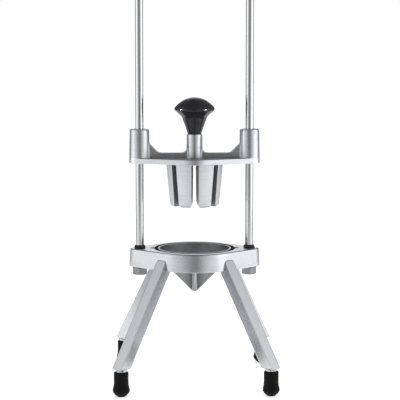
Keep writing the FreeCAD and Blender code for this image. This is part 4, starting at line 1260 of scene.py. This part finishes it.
def seen_directly(graph):
    """1 where a ray comes from the camera, a mirror or glass."""
    first = graph.node("ShaderNodeLightPath", None, None, "Is Camera Ray")
    outputs = first.socket.node.outputs
    glossy = Value(graph, outputs["Is Glossy Ray"])
    clear = Value(graph, outputs["Is Transmission Ray"])
    return graph.math("MAXIMUM", graph.math("MAXIMUM", first, glossy), clear)


def floor_material():
    """White sweep paper that keeps the press's shadow."""
    finish = Finish("sweep_paper")
    fibre = finish.speckle(finish.place, 900.0, 2.0)
    tone = finish.blend(fibre, (0.80, 0.80, 0.80, 1.0), (0.82, 0.82, 0.82, 1.0))
    matt = finish.node("ShaderNodeBsdfDiffuse", None, {"Color": tone})
    glow = finish.node("ShaderNodeEmission", None,
                       {"Color": (1.0, 1.0, 1.0, 1.0), "Strength": seen_directly(finish) * 0.44})
    both = finish.node("ShaderNodeAddShader", None, {0: matt, 1: glow})
    finish.node_output(both)
    return finish.material


# How light the studio's walls are, by their bearing from straight ahead, in degrees: from
# 10 cm up, and below 5 cm with the apron.
WALL_LEVELS = [(-180, 0.20), (-126, 0.20), (-112, 0.50), (-96, 0.95), (-80, 1.40),
               (-66, 1.15), (-50, 0.70), (-36, 0.52), (-24, 0.38), (-13, 0.26), (-4, 0.13),
               (9, 0.13), (20, 0.38), (33, 0.68), (45, 0.90), (58, 1.20), (72, 1.60),
               (88, 1.50), (104, 0.75), (120, 0.25), (180, 0.20)]
LOW_LEVELS = [(-180, 0.20), (-120, 0.25), (-90, 0.55), (-76, 0.80), (-62, 0.95), (-52, 0.95),
              (-42, 0.88), (-31, 0.78), (-21, 0.68), (-11, 0.50), (-1.5, 0.22), (8, 0.44),
              (18, 0.70), (27, 0.88), (35, 0.98), (41, 0.82), (46, 0.50), (52, 0.50),
              (59, 1.30), (69, 1.40), (77, 0.75), (90, 0.60), (110, 0.35), (125, 0.20),
              (180, 0.20)]
WALL_PEAK = 1.8
WALL_RADIUS = 1.1
WALL_HEIGHT = 1.3
WALL_OPENING = 14.0
SWEEP_HALF = 8
SWEEP_LEVEL = -0.0002
AIM = (0.0, 0.0, 0.25)
CEILING_LEVEL = 0.25


def wall_material():
    """Card walls whose grey follows the two rows of levels round the press."""
    finish = Finish("studio_walls")
    x, y, up = finish.parts(finish.place)
    bearing = finish.math("ARCTAN2", x, 0.0 - y) / (2 * math.pi) + 0.5
    low, high = (finish.node("ShaderNodeValToRGB",
                             {"stops": [((degrees + 180) / 360, (level / WALL_PEAK,) * 3)
                                        for degrees, level in levels]}, {"Fac": bearing})
                 for levels in (LOW_LEVELS, WALL_LEVELS))
    tone = finish.blend(finish.between(up, 0.05, 0.10), low, high)
    overhead = finish.math("GREATER_THAN", up, WALL_HEIGHT - MM)
    tone = finish.blend(overhead, tone, (CEILING_LEVEL / WALL_PEAK,) * 3 + (1.0,))
    glow = finish.node("ShaderNodeEmission", None, {"Color": tone, "Strength": WALL_PEAK})
    finish.node_output(glow)
    return finish.material


def walls(radius, height, opening):
    """Card walls and an apron, open at the rear, and a ceiling; only gloss shows them."""
    steps = 120
    points = []
    faces = []
    for i in range(steps + 1):
        bearing = math.radians(-180 + opening + (360 - 2 * opening) * i / steps)
        x = radius * math.sin(bearing)
        y = -radius * math.cos(bearing)
        points += [(x * 0.16, y * 0.16, 0.0), (x, y, 0.0), (x, y, height)]
        if i:
            low = 3 * (i - 1)
            faces.append((low + 1, low + 4, low + 5, low + 2))
            if -95 < math.degrees(bearing) < 95:
                faces.append((low, low + 3, low + 4, low + 1))
    faces.append(tuple(range(len(points), len(points) + steps)))
    points += circle(radius, height + 0.01, steps)
    made = add_object("studio_walls", mesh_of("studio_walls", points, faces))
    made.data.materials.append(wall_material())
    made.visible_camera = False
    made.visible_diffuse = False
    made.visible_transmission = False
    made.visible_shadow = False
    return made


def lamp(name, place, target, width, height, power, only=None):
    """A soft box aimed at a point; one that lights only some pieces is seen in their gloss."""
    light = bpy.data.lights.new(name, "AREA")
    light.shape = "RECTANGLE"
    light.size = width
    light.size_y = height
    light.energy = power
    made = bpy.data.objects.new(name, light)
    made.location = place
    made.rotation_euler = (Vector(target) - Vector(place)).to_track_quat("-Z", "Y").to_euler()
    made.visible_glossy = only is not None
    if only is not None:
        lit = bpy.data.collections.new(f"{name}_lit")
        for piece in only:
            lit.objects.link(piece)
        made.light_linking.receiver_collection = lit
    bpy.context.scene.collection.objects.link(made)
    return made


class PRESS_OT_stage(bpy.types.Operator):
    """Sets up the floor, the cards, the lamps, the room light and the camera"""
    bl_idname = "press.stage"
    bl_label = "Stage"

    def execute(self, context):
        stage = context.scene.press_stage
        corners = [(x * SWEEP_HALF, y * SWEEP_HALF, SWEEP_LEVEL)
                   for x, y in ((-1, -1), (1, -1), (1, 1), (-1, 1))]
        floor = add_object("sweep", mesh_of("sweep", corners, [(0, 1, 2, 3)]))
        floor.data.materials.append(floor_material())
        walls(WALL_RADIUS, WALL_HEIGHT, WALL_OPENING)
        lamp("key_box", (-1.3, -1.5, 1.7), AIM, 1.1, 1.1, stage.key_light)
        lamp("fill_box", (1.4, -1.3, 1.7), AIM, 0.8, 0.8, stage.fill_light)
        lamp("top_box", (0.0, 0.2, 2.2), AIM, 1.6, 1.6, stage.top_light)
        knob = [bpy.data.objects["mushroom_knob"]]
        for name, place in (("left_strip", (-1.08, -0.115, 0.25)),
                            ("right_strip", (0.99, -0.44, 0.25))):
            lamp(name, place, (0.0, 0.0, 0.34), 0.26, 0.20, stage.strip_light, knob)

        world = bpy.data.worlds.new("room")
        context.scene.world = world
        world.use_nodes = True
        room = Graph(world.node_tree)
        seen = seen_directly(room)
        strength = stage.room_light + seen * (1.0 - stage.room_light)
        sky = room.node("ShaderNodeBackground", None,
                        {"Color": (1.0, 1.0, 1.0, 1.0), "Strength": strength})
        out = room.tree.nodes.new("ShaderNodeOutputWorld")
        room.tree.links.new(sky.socket, out.inputs["Surface"])

        camera = bpy.data.objects.new("camera", bpy.data.cameras.new("camera"))
        camera.data.lens = stage.lens
        camera.data.sensor_width = 36.0
        camera.data.shift_x = 0.00981
        camera.data.shift_y = -0.02
        look = Vector((math.sin(stage.azimuth) * math.cos(stage.elevation),
                       math.cos(stage.azimuth) * math.cos(stage.elevation),
                       -math.sin(stage.elevation)))
        target = Vector((0.00165, -0.01167, 0.23765))
        camera.location = target - look * stage.distance
        camera.rotation_euler = look.to_track_quat("-Z", "Y").to_euler()
        context.scene.collection.objects.link(camera)
        context.scene.camera = camera
        context.scene.view_settings.view_transform = "Standard"
        return {"FINISHED"}


class PRESS_PT_panel(bpy.types.Panel):
    """Lists the pieces of the press with their sizes and colours"""
    bl_idname = "PRESS_PT_panel"
    bl_label = "Apple wedger press"
    bl_space_type = "VIEW_3D"
    bl_region_type = "UI"
    bl_category = "Press"

    def draw(self, context):
        for operator in OPERATORS:
            self.layout.operator(operator.bl_idname)
        for group in (context.scene.press_sizes, context.scene.press_colours,
                      context.scene.press_stage):
            box = self.layout.box()
            for name in group.bl_rna.properties.keys():
                if name not in ("rna_type", "name"):
                    box.prop(group, name)


OPERATORS = (PRESS_OT_base_casting, PRESS_OT_guide_rods, PRESS_OT_bumpers, PRESS_OT_nuts,
             PRESS_OT_legs, PRESS_OT_feet, PRESS_OT_screws, PRESS_OT_blade_set,
             PRESS_OT_gasket, PRESS_OT_push_head, PRESS_OT_push_block, PRESS_OT_knob,
             PRESS_OT_stage)
GROUPS = {"press_sizes": PressSizes, "press_colours": PressColours,
          "press_stage": PressStage}


def register():
    """Adds the classes and the scene's settings."""
    for kind in (*GROUPS.values(), *OPERATORS, PRESS_PT_panel):
        bpy.utils.register_class(kind)
    for name, group in GROUPS.items():
        setattr(bpy.types.Scene, name, bpy.props.PointerProperty(type=group))


def unregister():
    """Takes the classes and settings away again."""
    for name in GROUPS:
        delattr(bpy.types.Scene, name)
    for kind in reversed((*GROUPS.values(), *OPERATORS, PRESS_PT_panel)):
        bpy.utils.unregister_class(kind)


def main():
    """Builds every piece and the stage."""
    register()
    for operator in OPERATORS:
        getattr(bpy.ops.press, operator.bl_idname.split(".")[1])()


if __name__ == "__main__":
    main()
